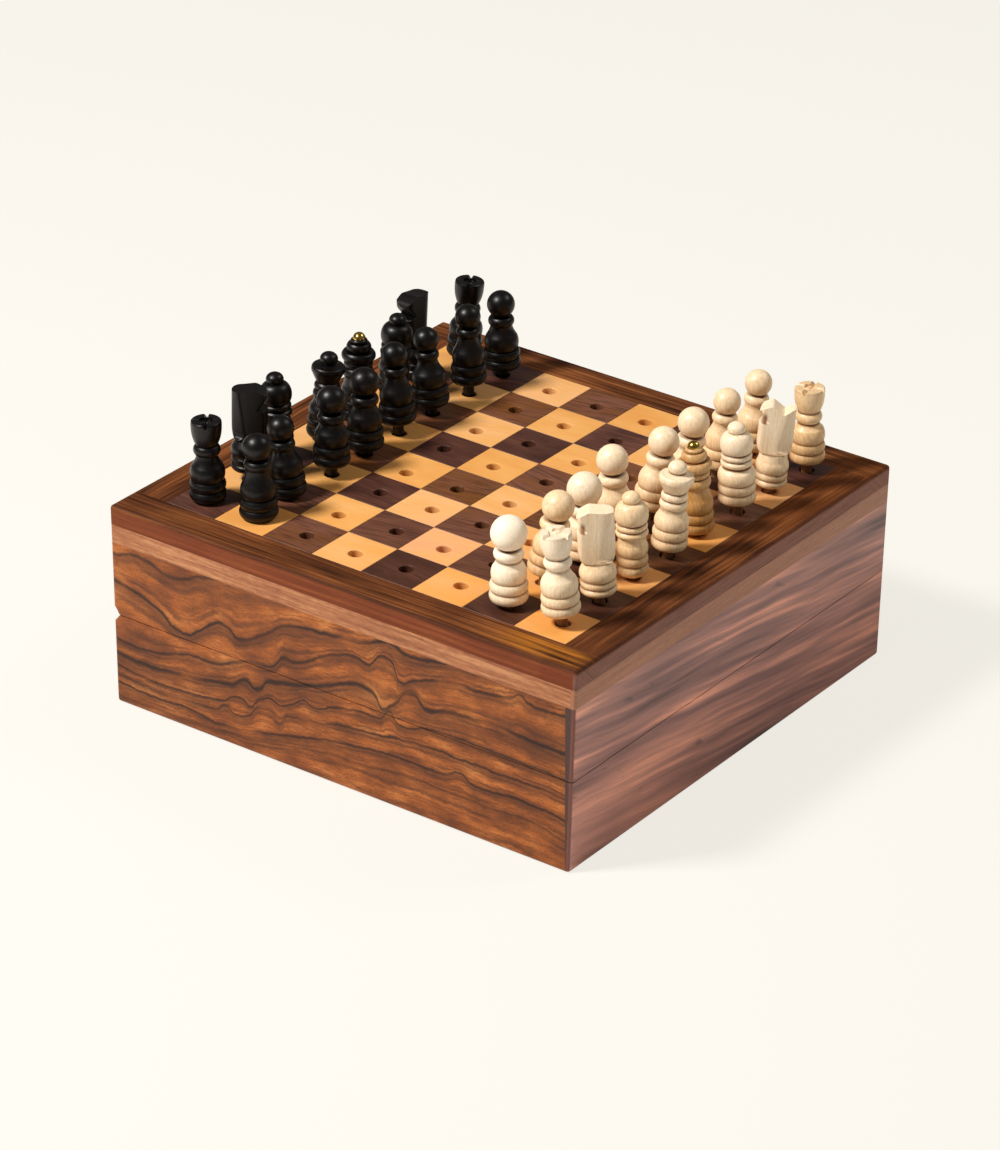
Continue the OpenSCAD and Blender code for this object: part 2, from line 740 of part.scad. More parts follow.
module pawn(m) {
    ball_r = detail(m);
    collar_r = min(pawn_collar_r, ball_r - pawn_collar_set);
    neck_r = min(pawn_neck_r, collar_r - collar_bulge);
    seat_r = pawn_seat_share * ball_r;
    body_z = foot_h + band_h;
    ball_z = pawn_ball_z + taller(m) - rise(ball_r, seat_r);
    collar_z = ball_z - pawn_collar_h;
    turned(m) {
        foot(pawn_r + wider(m));
        body(body_z, collar_z - body_z, pawn_body_r + wider(m), neck_r);
        ring(collar_z, pawn_collar_h, collar_r, collar_bulge);
        ball(ball_z, ball_r, seat_r, ball_h(ball_r, seat_r));
    }
}

module rook(m) {
    body_z = foot_h + band_h;
    body_h = rook_body_h + taller(m);
    collar_z = body_z + body_h;
    tower_z = collar_z + rook_collar_h;
    top_z = tower_z + rook_tower_h;
    difference() {
        turned(m) {
            foot(rook_r + wider(m));
            body(body_z, body_h, rook_body_r + wider(m), rook_neck_r);
            ring(collar_z, rook_collar_h, rook_collar_r, collar_bulge);
            curved_side(tower_z, rook_cup_h, rook_tower_seat_r, rook_tower_r);
            taper(tower_z + rook_cup_h, rook_tower_h - rook_cup_h,
                  rook_tower_r, rook_tower_r - rook_rim_ease);
        }
        translate([0, 0, top_z - rook_dish_depth])
            cylinder(h = rook_dish_depth + margin, r = rook_dish_r);
        for (turn = [0, 90]) rotate([0, 0, turn])
            upright(-rook_tower_r - margin, 2 * (rook_tower_r + margin)) rook_cut(top_z);
    }
}

// Section of a V cut through the top; its sides run on above it
module rook_cut(z) {
    reach = 1 + margin / rook_cut_depth;
    polygon([[0, z - rook_cut_depth],
             [reach * rook_cut_w / 2, z + margin], [-reach * rook_cut_w / 2, z + margin]]);
}

// Above the body a turned blank, cut flat on two sides, is the head; the mouth is on the -X side
module knight(m) {
    body_z = knight_foot_h + knight_band_h;
    body_h = knight_body_h + taller(m);
    head_z = body_z + body_h;
    mouth_z = head_z + knight_mouth_z;
    top_z = head_z + knight_head_h - taller(m);
    turned(m) {
        foot(knight_r + wider(m), knight_foot_h, knight_band_h);
        ring(body_z, knight_swell_h, knight_r + wider(m), swell_bulge);
        taper(body_z + knight_swell_h, body_h - knight_swell_h,
              knight_r + wider(m) - swell_bulge, knight_neck_r);
    }
    difference() {
        intersection() {
            rotate_extrude() {
                taper(head_z, knight_jaw_h, knight_neck_r, knight_head_r);
                translate([0, head_z + knight_jaw_h])
                    square([knight_head_r, top_z - head_z - knight_jaw_h]);
            }
            knight_outline(head_z, top_z, detail(m));
        }
        upright(-knight_head_t, 2 * knight_head_t) polygon([
            [-knight_head_r + knight_mouth_depth, mouth_z],
            [-knight_head_r - margin, mouth_z + knight_mouth_depth],
            [-knight_head_r - margin, mouth_z - knight_mouth_depth / 3]]);
        for (side = [0, 1]) mirror([0, side, 0]) mane_cut(head_z + knight_ledge_h);
    }
}

// The head's outline from the side: brow, notch and ears along the top
module knight_outline(z0, z1, notch_depth) {
    upright(-knight_head_t / 2, knight_head_t) polygon([
        [-knight_head_r - margin, z0], [knight_head_r + margin, z0],
        [knight_head_r + margin, z1 - knight_ear_fall - margin / 2],
        [knight_head_r - margin / 2, z1 - knight_ear_fall],
        [knight_notch_x, z1 - notch_depth],
        [-knight_brow_x, z1],
        [-knight_head_r - margin / 2, z1 - knight_brow_fall]]);
}

// What is sawn off for one facet of the mane, above a level ledge
module mane_cut(z) {
    size = 4 * knight_head_r;
    rotate([0, 0, knight_mane_turn]) rotate([90, 0, 90]) translate([0, 0, -size / 2])
        linear_extrude(size) polygon([
            [-knight_mane_d, z], [-knight_mane_d - size * tan(knight_mane_lean), z + size],
            [-2 * size, z + size], [-2 * size, z]]);
}

module bishop(m) {
    body_z = foot_h + band_h;
    body_h = bishop_body_h + taller(m);
    collar_z = body_z + body_h;
    ruff_z = collar_z + bishop_collar_h;
    head_z = ruff_z + bishop_ruff_h;
    shoulder_z = head_z + bishop_head_h;
    knob_z = shoulder_z + bishop_shoulder_h;
    shoulder_r = rise(bishop_head_r, bishop_head_h - rise(bishop_head_r, bishop_head_seat_r));
    turned(m) {
        foot(bishop_r + wider(m));
        body(body_z, body_h, bishop_body_r + wider(m), bishop_waist_r, bishop_swell_h);
        ring(collar_z, bishop_collar_h, bishop_collar_r, collar_bulge);
        ring(ruff_z, bishop_ruff_h, bishop_ruff_r, collar_bulge);
        ball(head_z, bishop_head_r, bishop_head_seat_r, bishop_head_h);
        taper(shoulder_z, bishop_shoulder_h, shoulder_r, bishop_knob_seat_r);
        ball(knob_z, bishop_knob_r, bishop_knob_seat_r,
             ball_h(bishop_knob_r, bishop_knob_seat_r));
    }
}

module queen(m) {
    body_z = foot_h + band_h;
    body_h = queen_body_h + taller(m);
    collar_z = body_z + body_h;
    ruff_z = collar_z + queen_collar_h;
    crown_z = ruff_z + queen_ruff_h;
    rim_z = crown_z + queen_flare_h;
    brow_z = rim_z + queen_rim_h;
    knob_z = brow_z + queen_brow_h;
    turned(m) {
        foot(queen_r + wider(m));
        body(body_z, body_h, queen_body_r + wider(m), queen_neck_r, queen_swell_h);
        ring(collar_z, queen_collar_h, queen_collar_r, collar_bulge);
        ring(ruff_z, queen_ruff_h, queen_ruff_r, collar_bulge);
        taper(crown_z, queen_flare_h, queen_crown_seat_r, queen_crown_r - collar_bulge);
        ring(rim_z, queen_rim_h, queen_crown_r, collar_bulge);
        taper(brow_z, queen_brow_h, queen_crown_r - collar_bulge, queen_knob_seat_r);
        ball(knob_z, queen_knob_r, queen_knob_seat_r,
             ball_h(queen_knob_r, queen_knob_seat_r));
    }
}

// Height of the king's wood, where the brass pin sits
function king_top(m) = foot_h + band_h + king_body_h + taller(m) + king_collar_h
    + king_ruff_h + king_disc_h + king_dome_h + king_step_h;

module king(m) {
    body_z = foot_h + band_h;
    body_h = king_body_h + taller(m);
    collar_z = body_z + body_h;
    ruff_z = collar_z + king_collar_h;
    disc_z = ruff_z + king_ruff_h;
    dome_z = disc_z + king_disc_h;
    step_z = dome_z + king_dome_h;
    hole_l = finial_shank_l + finial_gap;
    difference() {
        turned(m) {
            foot(king_r + wider(m));
            body(body_z, body_h, king_body_r + wider(m), king_waist_r);
            ring(collar_z, king_collar_h, king_collar_r, collar_bulge);
            ring(ruff_z, king_ruff_h, king_ruff_r, collar_bulge);
            ring(disc_z, king_disc_h, king_disc_r, collar_bulge);
            ring(dome_z, king_dome_h, king_dome_r, collar_bulge);
            ring(step_z, king_step_h, king_step_r, ring_bulge);
        }
        translate([0, 0, king_top(m) - hole_l])
            cylinder(h = hole_l + margin, r = finial_shank_r + finial_gap, $fn = 32);
    }
}

// The brass pin with a domed head, driven into the king
module king_finial(m) {
    color(brass) rotate_extrude() {
        translate([0, king_top(m) - finial_shank_l]) square([finial_shank_r, finial_shank_l]);
        intersection() {
            translate([0, king_top(m)]) circle(finial_r);
            translate([0, king_top(m)]) square([finial_r, finial_r]);
        }
    }
}

// Any man, by the name of its kind
module man(kind, m) {
    if (kind == "rook_1" || kind == "rook_2") rook(m);
    else if (kind == "knight_1" || kind == "knight_2") knight(m);
    else if (kind == "bishop_1" || kind == "bishop_2") bishop(m);
    else if (kind == "queen") queen(m);
    else if (kind == "king") king(m);
    else pawn(m);
}

// Puts its children in the hole of a square, as the man of row m stands there: it leans about
// the middle of the hole's depth
module on_square(file, rank, m) {
    hole = HOLES[rank][file];
    translate([square_at(file) + hole.x, square_at(rank) + hole.y, box_h - board_t / 2])
        rotate([0, 0, lean_turn]) rotate([0, lean(m), 0]) rotate([0, 0, -lean_turn])
            translate([0, 0, board_t / 2 + stand(m)]) rotate([0, 0, turn(m)]) children();
}

// One man of a side, standing on its square
module stand_man(side, kind, file, rank) {
    m = row_of(str(side, "_", kind));
    on_square(file, rank, m) color(wood_of(side)) man(kind, m);
}

// The pin on a side's king
module crown_king(side) {
    m = row_of(str(side, "_king"));
    on_square(back_file(side), search(["king"], BACK_RANK)[0], m) king_finial(m);
}

function back_file(side) = side == "white" ? white_back_file : black_back_file;
function pawn_file(side) = side == "white" ? white_pawn_file : black_pawn_file;
function wood_of(side) = side == "white" ? boxwood : ebony;

base_front_wall();
base_back_wall();
base_opening_wall();
base_hinge_wall();
bottom_panel();
felt_lining();
lid_front_wall();
lid_back_wall();
lid_opening_wall();
lid_hinge_wall();
backing_board();
border_front();
border_back();
border_left();
border_right();
light_squares();
dark_squares();
base_hinge_leaves();
lid_hinge_leaves();
hinge_pins();
base_hinge_screws();
lid_hinge_screws();
for (side = SIDES) {
    for (rank = [0 : ranks - 1])
        stand_man(side, BACK_RANK[rank], back_file(side), rank);
    for (rank = [0 : ranks - 1])
        stand_man(side, PAWNS[rank], pawn_file(side), rank);
    crown_king(side);
}
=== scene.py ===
"""The looks of a pegged travel chess box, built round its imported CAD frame.

Lengths below are in millimetres and become metres where a mesh is made. Shapes are numpy
surfaces: blocks with rounded outer edges, turned profiles, and squares drilled for pegs.
"""

import math

import bmesh
import bpy
import numpy as np
from mathutils import Matrix


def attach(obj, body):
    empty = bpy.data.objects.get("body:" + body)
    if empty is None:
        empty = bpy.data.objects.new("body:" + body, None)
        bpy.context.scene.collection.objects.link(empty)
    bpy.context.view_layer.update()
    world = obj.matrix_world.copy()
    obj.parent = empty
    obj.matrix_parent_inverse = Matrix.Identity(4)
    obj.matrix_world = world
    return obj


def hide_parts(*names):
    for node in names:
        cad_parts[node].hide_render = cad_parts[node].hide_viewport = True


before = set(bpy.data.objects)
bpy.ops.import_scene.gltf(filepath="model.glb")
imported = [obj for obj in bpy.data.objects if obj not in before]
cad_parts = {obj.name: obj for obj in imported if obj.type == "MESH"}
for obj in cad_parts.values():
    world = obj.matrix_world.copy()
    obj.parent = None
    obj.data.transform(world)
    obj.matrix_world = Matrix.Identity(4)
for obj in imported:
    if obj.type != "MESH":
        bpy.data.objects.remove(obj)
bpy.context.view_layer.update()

MM = 0.001

# ---- Sizes of the box, as the CAD has them ----

HALF = 63.5  # half of the box's width and depth
WALL = 6.0
BASE_H = 22.3  # top of the base's walls
LID_Z = 22.5  # underside of the lid's walls
WALLS_TOP = 40.2
BOARD_Z = 44.7  # top of the backing board, on which the squares lie
TOP = 49.3
BOARD_T = TOP - BOARD_Z
PITCH = 13.6  # from one square to the next
FIELD = 4 * PITCH  # half of the board's field
GLUE = 0.1  # gap between two squares
LEAN = 1.9  # how far in the hinge side's foot lies
LEAN_FADE = 10.0  # over this length the front and back walls take up the lean
EASE = 0.9  # radius of the rounded edges
SEAM_Z = (BASE_H + LID_Z) / 2
SEAM_GAP = LID_Z - BASE_H
BEVEL = 1.8
LAP_TOP, LAP_BOTTOM = 2.5, 1.0  # width of the opening wall's tongue
TONGUE = 3.5  # depth of the block from which the tongue is made
PANEL_T, FELT_T = 3.0, 0.8
REBATE_FACE = HALF - WALL + 3.0  # how far the bottom panel reaches into the walls
PANEL_X = (-59.463, REBATE_FACE)
SLIT = 0.01  # between two grid lines where a face steps
FELT_LEFT = -56.2
FELT_MARGIN = 0.3
FELT_EASE = 0.5
HOLE_R = 1.7
HOLE_WEAR = 0.15
PEG_R = 1.3
PEG_TIP = 0.4
PEG_FLOOR_GAP = 0.3
LEAN_TURN = math.radians(35)  # direction of the upright plane in which the men lean

# Each man: foot's height above the board, lean in degrees, how much taller and wider than the
# pattern, turn in degrees, and a pawn's ball radius or the depth of a knight's notch
MEN = {
    "white_rook_1": (3.1, -5.5, 0.2, 0, -10, 0),
    "white_knight_1": (2.4, -4.5, 0, -0.2, 35, 0.35),
    "white_bishop_1": (1.4, -3, 0, -0.2, 0, 0),
    "white_queen": (2.5, 3.5, 0, 0, 0, 0),
    "white_king": (1.3, -4, 0, 0, 0, 0),
    "white_bishop_2": (3.2, -3, -0.4, 0.6, 0, 0),
    "white_knight_2": (2, 3, 0.6, -0.5, 30, 2),
    "white_rook_2": (2.9, -1, -0.8, -0.2, 10, 0),
    "white_pawn_1": (1.6, -1.5, 0, -0.1, 0, 4.05),
    "white_pawn_2": (3, 7.5, 0, 0, 0, 3.6),
    "white_pawn_3": (1.5, 0, 0, 0, 0, 3.95),
    "white_pawn_4": (3.4, -5, 0, -0.2, 0, 3.6),
    "white_pawn_5": (3, 8, 0, 0, 0, 3.5),
    "white_pawn_6": (2.4, 5, 0, 0, 0, 3.6),
    "white_pawn_7": (2.6, 5, 0, -0.2, 0, 3.15),
    "white_pawn_8": (2.2, 4, 0, -0.1, 0, 3.15),
    "black_rook_1": (0.7, -1.5, 0.3, -0.1, 35, 0),
    "black_knight_1": (3, 0, 0, 0, 215, 0.4),
    "black_bishop_1": (2, -3, 0, 0, 0, 0),
    "black_queen": (1.1, 3, 0, 0, 0, 0),
    "black_king": (0.6, 1, -0.3, -0.2, 0, 0),
    "black_bishop_2": (2.2, 2.5, 0, 0, 0, 0),
    "black_knight_2": (2, -3.5, 0, -0.2, 85, 0.4),
    "black_rook_2": (1.9, 3, 0, -0.1, 30, 0),
    "black_pawn_1": (0.6, -2, 0.8, 0, 0, 3.3),
    "black_pawn_2": (1, -7, 0, -0.1, 0, 3.1),
    "black_pawn_3": (3.2, -1, -0.4, -0.1, 0, 3.4),
    "black_pawn_4": (2.3, -1.5, 0, 0, 0, 3.5),
    "black_pawn_5": (3.6, -4, 0.5, -0.1, 0, 3.1),
    "black_pawn_6": (3, -5.5, 0.2, 0, 0, 3),
    "black_pawn_7": (3.6, -2, 0.5, -0.2, 0, 3),
    "black_pawn_8": (2.5, -2.5, 0, 0, 0, 3.3),
}
BACK_RANK = ["rook_1", "knight_1", "bishop_1", "queen", "king", "bishop_2", "knight_2", "rook_2"]
PAWNS = ["pawn_%d" % n for n in range(1, 9)]
FILES = {"white": (7, 6), "black": (0, 1)}

# Where each hole was drilled, from the middle of its square: rows are ranks, pairs are files
HOLES = [
    [(-0.1, 0), (0.5, 0.3), (0.7, -0.3), (0.8, -0.7), (0.3, 0.3), (0.8, 1.3), (0.6, 0.4), (1, 0.7)],
    [(0.6, 0.4), (-0.7, -0.5), (0.2, -1.5), (1.5, 0), (1.2, -0.5), (1, 0.5), (0.2, 0.1), (1.2, 0.8)],
    [(-0.7, -0.5), (0.2, 0.2), (0.8, -0.3), (1.4, 0), (0.9, 0.7), (0.8, 0.4), (0.8, 0.6), (0.8, 0.6)],
    [(0.7, 0.5), (-0.2, -0.2), (-0.6, -2.2), (-0.2, -1.8), (-0.2, -0.5), (-0.3, 0), (1, 0.7), (0.7, 0.5)],
    [(0.3, 0.2), (-0.5, -0.3), (-1.2, -0.4), (-0.5, -0.9), (0, 0), (-0.2, 0.2), (0.2, 0.1), (0, 0)],
    [(0.5, 0.3), (-0.7, -0.5), (-0.9, -1.7), (-1.1, 0.2), (0, -0.8), (-0.3, -0.2), (0.4, 0.3), (1.3, 0.9)],
    [(-1.2, -0.9), (-0.3, -0.2), (-0.3, -0.5), (-0.1, -0.5), (0.2, 0.3), (0, 0.2), (0.5, 0.3), (1, 0.7)],
    [(1, 0.7), (-0.3, -0.2), (0, -0.7), (0, -0.7), (0, -0.7), (0.1, -0.5), (0.6, 0.4), (2.1, 1.5)],
]


# ---- Shader maths ----

def rgb(red, green, blue):
    """An sRGB colour given from 0 to 255, as linear light with alpha 1."""
    c = np.array([red, green, blue]) / 255
    linear = np.where(c <= 0.04045, c / 12.92, ((c + 0.055) / 1.055) ** 2.4)
    return (*linear.tolist(), 1.0)


class Wire:
    """A socket's value. Operators add the Math nodes of an expression."""

    def __init__(self, finish, socket):
        self.finish, self.socket = finish, socket

    def maths(self, operation, *values, clamp=False):
        """Adds one Math node, with the operation's values in their order."""
        settings = {"operation": operation, "use_clamp": clamp}
        return self.finish.node("ShaderNodeMath", settings, dict(enumerate(values)))

    def __add__(self, other):
        return self.maths("ADD", self, other)

    def __sub__(self, other):
        return self.maths("SUBTRACT", self, other)

    def __rsub__(self, other):
        return self.maths("SUBTRACT", other, self)

    def __mul__(self, other):
        return self.maths("MULTIPLY", self, other)

    def __truediv__(self, other):
        return self.maths("DIVIDE", self, other)

    def __rtruediv__(self, other):
        return self.maths("DIVIDE", other, self)

    def __abs__(self):
        return self.maths("ABSOLUTE", self)

    __radd__ = __add__
    __rmul__ = __mul__

    def floor(self):
        """The whole number at or below the value."""
        return self.maths("FLOOR", self)

    def most(self, other):
        """The larger of two values."""
        return self.maths("MAXIMUM", self, other)

    def clamped(self):
        """The value kept between 0 and 1."""
        return self.maths("ADD", self, 0.0, clamp=True)

    def step(self, low, high):
        """0 below low, 1 above high, smooth between; low may be above high to turn it round."""
        if low > high:
            return 1.0 - self.step(high, low)
        return self.finish.node("ShaderNodeMapRange", {"interpolation_type": "SMOOTHSTEP"},
                                {"Value": self, "From Min": low, "From Max": high})


class Finish:
    """A material, or the world, and the methods that add nodes to it."""

    def __init__(self, name, kind=bpy.data.materials):
        self.data = kind.new(name)
        self.data.use_nodes = True
        self.tree = self.data.node_tree
        self.tree.nodes.clear()

    def node(self, kind, settings, sockets, out=0):
        """Adds a node: its settings first, then values or links on its sockets."""
        made = self.tree.nodes.new(kind)
        for key, value in settings.items():
            if key == "stops":
                ramp = made.color_ramp
                while len(ramp.elements) < len(value):
                    ramp.elements.new(0.5)
                for element, (place, colour) in zip(ramp.elements, value):
                    element.position, element.color = place, colour
            elif key == "points":
                curve = made.mapping.curves[0]
                while len(curve.points) < len(value):
                    curve.points.new(0.5, 0.5)
                for point, place in zip(curve.points, value):
                    point.location = place
                made.mapping.update()
            else:
                setattr(made, key, value)
        for key, value in sockets.items():
            socket = made.inputs[key]
            if isinstance(value, Wire):
                self.tree.links.new(value.socket, socket)
            else:
                socket.default_value = value
        return Wire(self, made.outputs[out]) if made.outputs else None

    def place(self):
        """Object coordinates in millimetres, as three wires."""
        at = self.node("ShaderNodeTexCoord", {}, {}, out=3)
        scaled = self.node("ShaderNodeVectorMath", {"operation": "SCALE"}, {0: at, "Scale": 1 / MM})
        split = self.node("ShaderNodeSeparateXYZ", {}, {0: scaled})
        outputs = split.socket.node.outputs
        return [Wire(self, outputs[k]) for k in range(3)]

    def vector(self, x, y, z):
        """Three values as one vector."""
        return self.node("ShaderNodeCombineXYZ", {}, {0: x, 1: y, 2: z})

    def noise(self, x, y, z, detail=2.0, rough=0.5):
        """Smooth noise from 0 to 1 at a place whose axes are already stretched."""
        return self.node("ShaderNodeTexNoise", {},
                         {"Vector": self.vector(x, y, z), "Scale": 1.0, "Detail": detail,
                          "Roughness": rough})

    def chance(self, x, y, z):
        """A number from 0 to 1 that has nothing to do with its neighbours."""
        return self.node("ShaderNodeTexWhiteNoise", {"noise_dimensions": "3D"},
                         {"Vector": self.vector(x, y, z)})

    def mix(self, share, first, second):
        """The first colour turned into the second by a share."""
        return self.node("ShaderNodeMix", {"data_type": "RGBA"}, {0: share, 6: first, 7: second}, out=2)

    def layers(self, body, *over):
        """Colours laid over a body one after another, each by its own share."""
        for share, colour in over:
            body = self.mix(share, body, colour)
        return body

    def ramp(self, value, *stops):
        """The colour at a value between stops of (place, colour)."""
        return self.node("ShaderNodeValToRGB", {"stops": stops}, {0: value})

    def attribute(self, name):
        """A number stored on the piece's own points."""
        return self.node("ShaderNodeAttribute", {"attribute_name": name}, {}, out=2)

    def close(self, colour, roughness, height, depth, specular=0.5, coat=0.0, **constants):
        """Ends the material in a Principled shader; height times depth in mm drives its bump."""
        bump = self.node("ShaderNodeBump", {}, {"Strength": 1.0, "Distance": depth * MM, "Height": height})
        shader = self.node("ShaderNodeBsdfPrincipled", {},
                           {"Base Color": colour, "Roughness": roughness, "Specular IOR Level": specular,
                            "Coat Weight": coat, "Coat Roughness": 0.3, "Normal": bump, **constants})
        self.node("ShaderNodeOutputMaterial", {}, {0: shader})
        return self.data


# ---- Woods ----

# Growth lines of the figured front: (along, height) at points of each line, its width, its strength
FIGURE = [
    ([(-64, 1.8), (-40, 2), (-25, 3.2), (-10, 5.6), (0, 7.3), (10, 7.8), (20, 8.8), (32, 9.0),
      (44, 9.0), (54, 9.3), (60, 8.2), (64, 7.2)], 0.5, 0.55),
    ([(-64, 4.9), (-50, 4.6), (-38, 4.7), (-33, 4.2), (-29, 4.3), (-24, 5.2), (-19, 6.2), (-14, 7.5),
      (-8, 9.0), (-2, 10.2), (5, 11.4), (12, 12.3), (20, 12.8), (27, 12.7), (31, 13.3), (33.2, 14.6),
      (35, 14.6), (37, 13.1), (42, 13.1), (50, 13.5), (58, 13.0), (64, 12.4)], 0.5, 0.9),
    ([(-64, 7.2), (-50, 6.6), (-40, 7), (-33, 7.7), (-29.8, 9.3), (-28, 8.1), (-26, 8.2), (-23, 9.6),
      (-21.6, 11.6), (-19.5, 12.3), (-17.6, 12.4), (-16.3, 11), (-15.2, 10.1), (-14.2, 10.8),
      (-13.2, 12.5), (-11, 12.9), (-8, 13.3), (-6.4, 14.0), (-4.4, 13.9), (0, 15.2), (6, 16.1),
      (14, 17), (22, 18.1), (30, 18.3), (40, 18.2), (50, 18.2), (57, 18.4), (64, 17.8)], 0.5, 0.85),
    ([(-64, 9.9), (-58, 9.0), (-50, 8.8), (-40, 9), (-34, 9.8), (-31, 10.4), (-29, 11.9), (-27, 12.7),
      (-25, 12.5), (-23.4, 11.5), (-21.8, 13), (-20.2, 14.6), (-17.6, 15.5), (-15.2, 14.8), (-12, 15.7),
      (-9.8, 17.2), (-8.2, 18.3), (-6.6, 17.4), (-4.6, 17.2), (-1, 18.9), (4, 20.2), (10, 20.8),
      (12.8, 20.9), (13.8, 22.3), (15.1, 23.3), (16.4, 22.1), (17.4, 20.9), (20, 20.9), (24, 22.3),
      (30, 23.0), (44, 23.2), (64, 22.6)], 0.45, 0.9),
    ([(-64, 13.2), (-58, 12.3), (-50, 12.4), (-44, 13), (-38, 13.6), (-32, 15), (-28, 15.8),
      (-26.2, 17.2), (-24.6, 17.8), (-22, 16.5), (-20, 17.4), (-18.6, 19.4), (-16, 20.1), (-11, 21.3),
      (-5, 23.0), (0, 25.0), (4.6, 26.7), (9, 26.9), (11.6, 25.6), (13, 23.4), (15, 24.4), (17.6, 27),
      (19.2, 29.2), (21.6, 29.7), (23.2, 28.2), (25, 27.2), (30, 28.2), (38, 29.2), (46, 29.6),
      (55, 29), (64, 28.6)], 0.85, 1.0),
    ([(-64, 16.8), (-55, 15.8), (-49, 16.6), (-42, 18.4), (-34, 19.2), (-28, 21), (-23, 22.9),
      (-18, 23.4), (-15.8, 25.2), (-14.3, 27), (-11, 27.1), (-7, 28.6), (-4, 30.6), (0, 32.3),
      (5.6, 33.7), (8.8, 32.9), (10.4, 34.2), (12.2, 36.3), (14.4, 36.5), (16.2, 34.8), (17.8, 31.5),
      (20.5, 32.9), (26, 34.8), (34, 36.2), (44, 37), (47.4, 38.0), (49.3, 39.4), (51.4, 38.0),
      (54, 37.5), (64, 38.2)], 0.6, 0.9),
    ([(-64, 31.2), (-58, 30.2), (-52, 28.4), (-47.6, 26.2), (-44.6, 24.2), (-41.6, 23.9), (-38, 25.9),
      (-34.6, 28.4), (-31.4, 29.8), (-29, 29), (-27, 27.5), (-25, 27.8), (-21.5, 29.7), (-18, 32),
      (-14, 34.8), (-8, 36.3), (0, 37.1), (8, 38.1), (11.6, 39.6), (15, 40.4), (19, 38.9), (25, 39.4),
      (36, 41.4), (64, 42.5)], 0.7, 1.0),
    ([(-64, 37.2), (-60, 37.8), (-56, 38.8), (-51, 38.2), (-47, 36.9), (-43, 37.1), (-38, 39.3),
      (-30, 41.2), (-10, 43), (20, 46), (64, 48)], 0.7, 0.8),
]
SPAN = 128.0  # length and height of the field in which the lines are given
RISE = 50.0


def figured_wood(name, mirror=1.0, shift=0.0, seed=0.0):
    """Red-brown hardwood with dark wandering growth lines, the same across base and lid.

    A point's height, shaken by noise, is measured from each line of FIGURE: close to a line the
    wood is darkest, and below it shaded. The level counts the lines below a point, with the
    share of the way to the next one, and finer rings follow it.
    """
    f = Finish(name)
    x, y, z = f.place()
    along = x * mirror + shift
    drift = f.noise(x * 0.11, seed, z * 0.16) - 0.5
    tremble = f.noise(x * 0.55, seed + 3, z * 0.7, detail=3, rough=0.6) - 0.5
    height = z + drift * 1.6 + tremble * 0.9
    share = (along + SPAN / 2) / SPAN
    lines, soft, level, below = 0.0, 0.0, 0.0, -1.0
    for k, (points, width, strength) in enumerate(FIGURE):
        curve = f.node("ShaderNodeFloatCurve",
                       {"points": [((px + SPAN / 2) / SPAN, pz / RISE) for px, pz in points]},
                       {"Value": share}) * RISE
        away = height - curve
        strong = f.noise(x * 0.06, seed + 7 * k, z * 0.02, detail=1).step(0.22, 0.5) * strength
        lines = (abs(away).step(width * 1.15, width * 0.1) * strong).most(lines)
        soft = (abs(away + width * 1.5).step(width * 4.6, 0.0) * strong).most(soft)
        level = ((height - below) / (curve - below)).clamped() + level
        below = curve
    rings = f.noise(level * 7.0, seed + 5, x * 0.012, rough=0.6)
    sway = (f.noise(x * 0.09, seed + 19, level * 1.5) - 0.5) * 0.5
    between = level * 2.0 + sway
    thin = abs(between - between.floor() - 0.5).step(0.18, 0.03) \
        * f.noise(x * 0.07, seed + 21, level * 1.1, detail=1).step(0.40, 0.54)
    fibre = f.noise(x * 0.16, seed + 9, height * 2.6, detail=4, rough=0.7)
    hair = f.noise(x * 0.35, seed + 11, height * 6.5, rough=0.6)
    pores = f.noise(x * 0.9, y * 2.0, height * 6.0, rough=0.6).step(0.58, 0.70)
    cloud = f.noise(x * 0.035, seed + 13, height * 0.085)
    patch = f.noise(x * 0.12, seed + 17, level * 1.8)
    speckle = f.noise(x * 2.4, y * 2.4, z * 2.4, rough=0.7)
    body = f.layers(f.ramp(cloud * 0.40 + patch * 0.35 + fibre * 0.25,
                           (0.36, rgb(92, 46, 22)), (0.45, rgb(133, 72, 34)), (0.53, rgb(168, 94, 42)),
                           (0.63, rgb(206, 130, 70))),
                    (rings.step(0.48, 0.62) * 0.42, rgb(95, 52, 28)),
                    (hair.step(0.47, 0.62) * 0.45, rgb(89, 48, 28)),
                    (soft * 0.6, rgb(74, 43, 28)),
                    (thin * 0.6, rgb(69, 40, 28)),
                    (lines * 0.92, rgb(33, 22, 20)),
                    (pores * 0.48, rgb(58, 33, 22)),
                    (speckle.step(0.50, 0.68) * 0.3, rgb(65, 36, 22)),
                    # painted shade: the lowest 4 mm, next to the floor, are darker
                    (z.step(4.0, 0.0) * 0.22, rgb(101, 52, 24)))
    return f.close(body, 0.34 + pores * 0.2 + fibre * 0.1, height=pores * -0.6 + fibre * 0.25,
                   depth=0.06, specular=0.2)


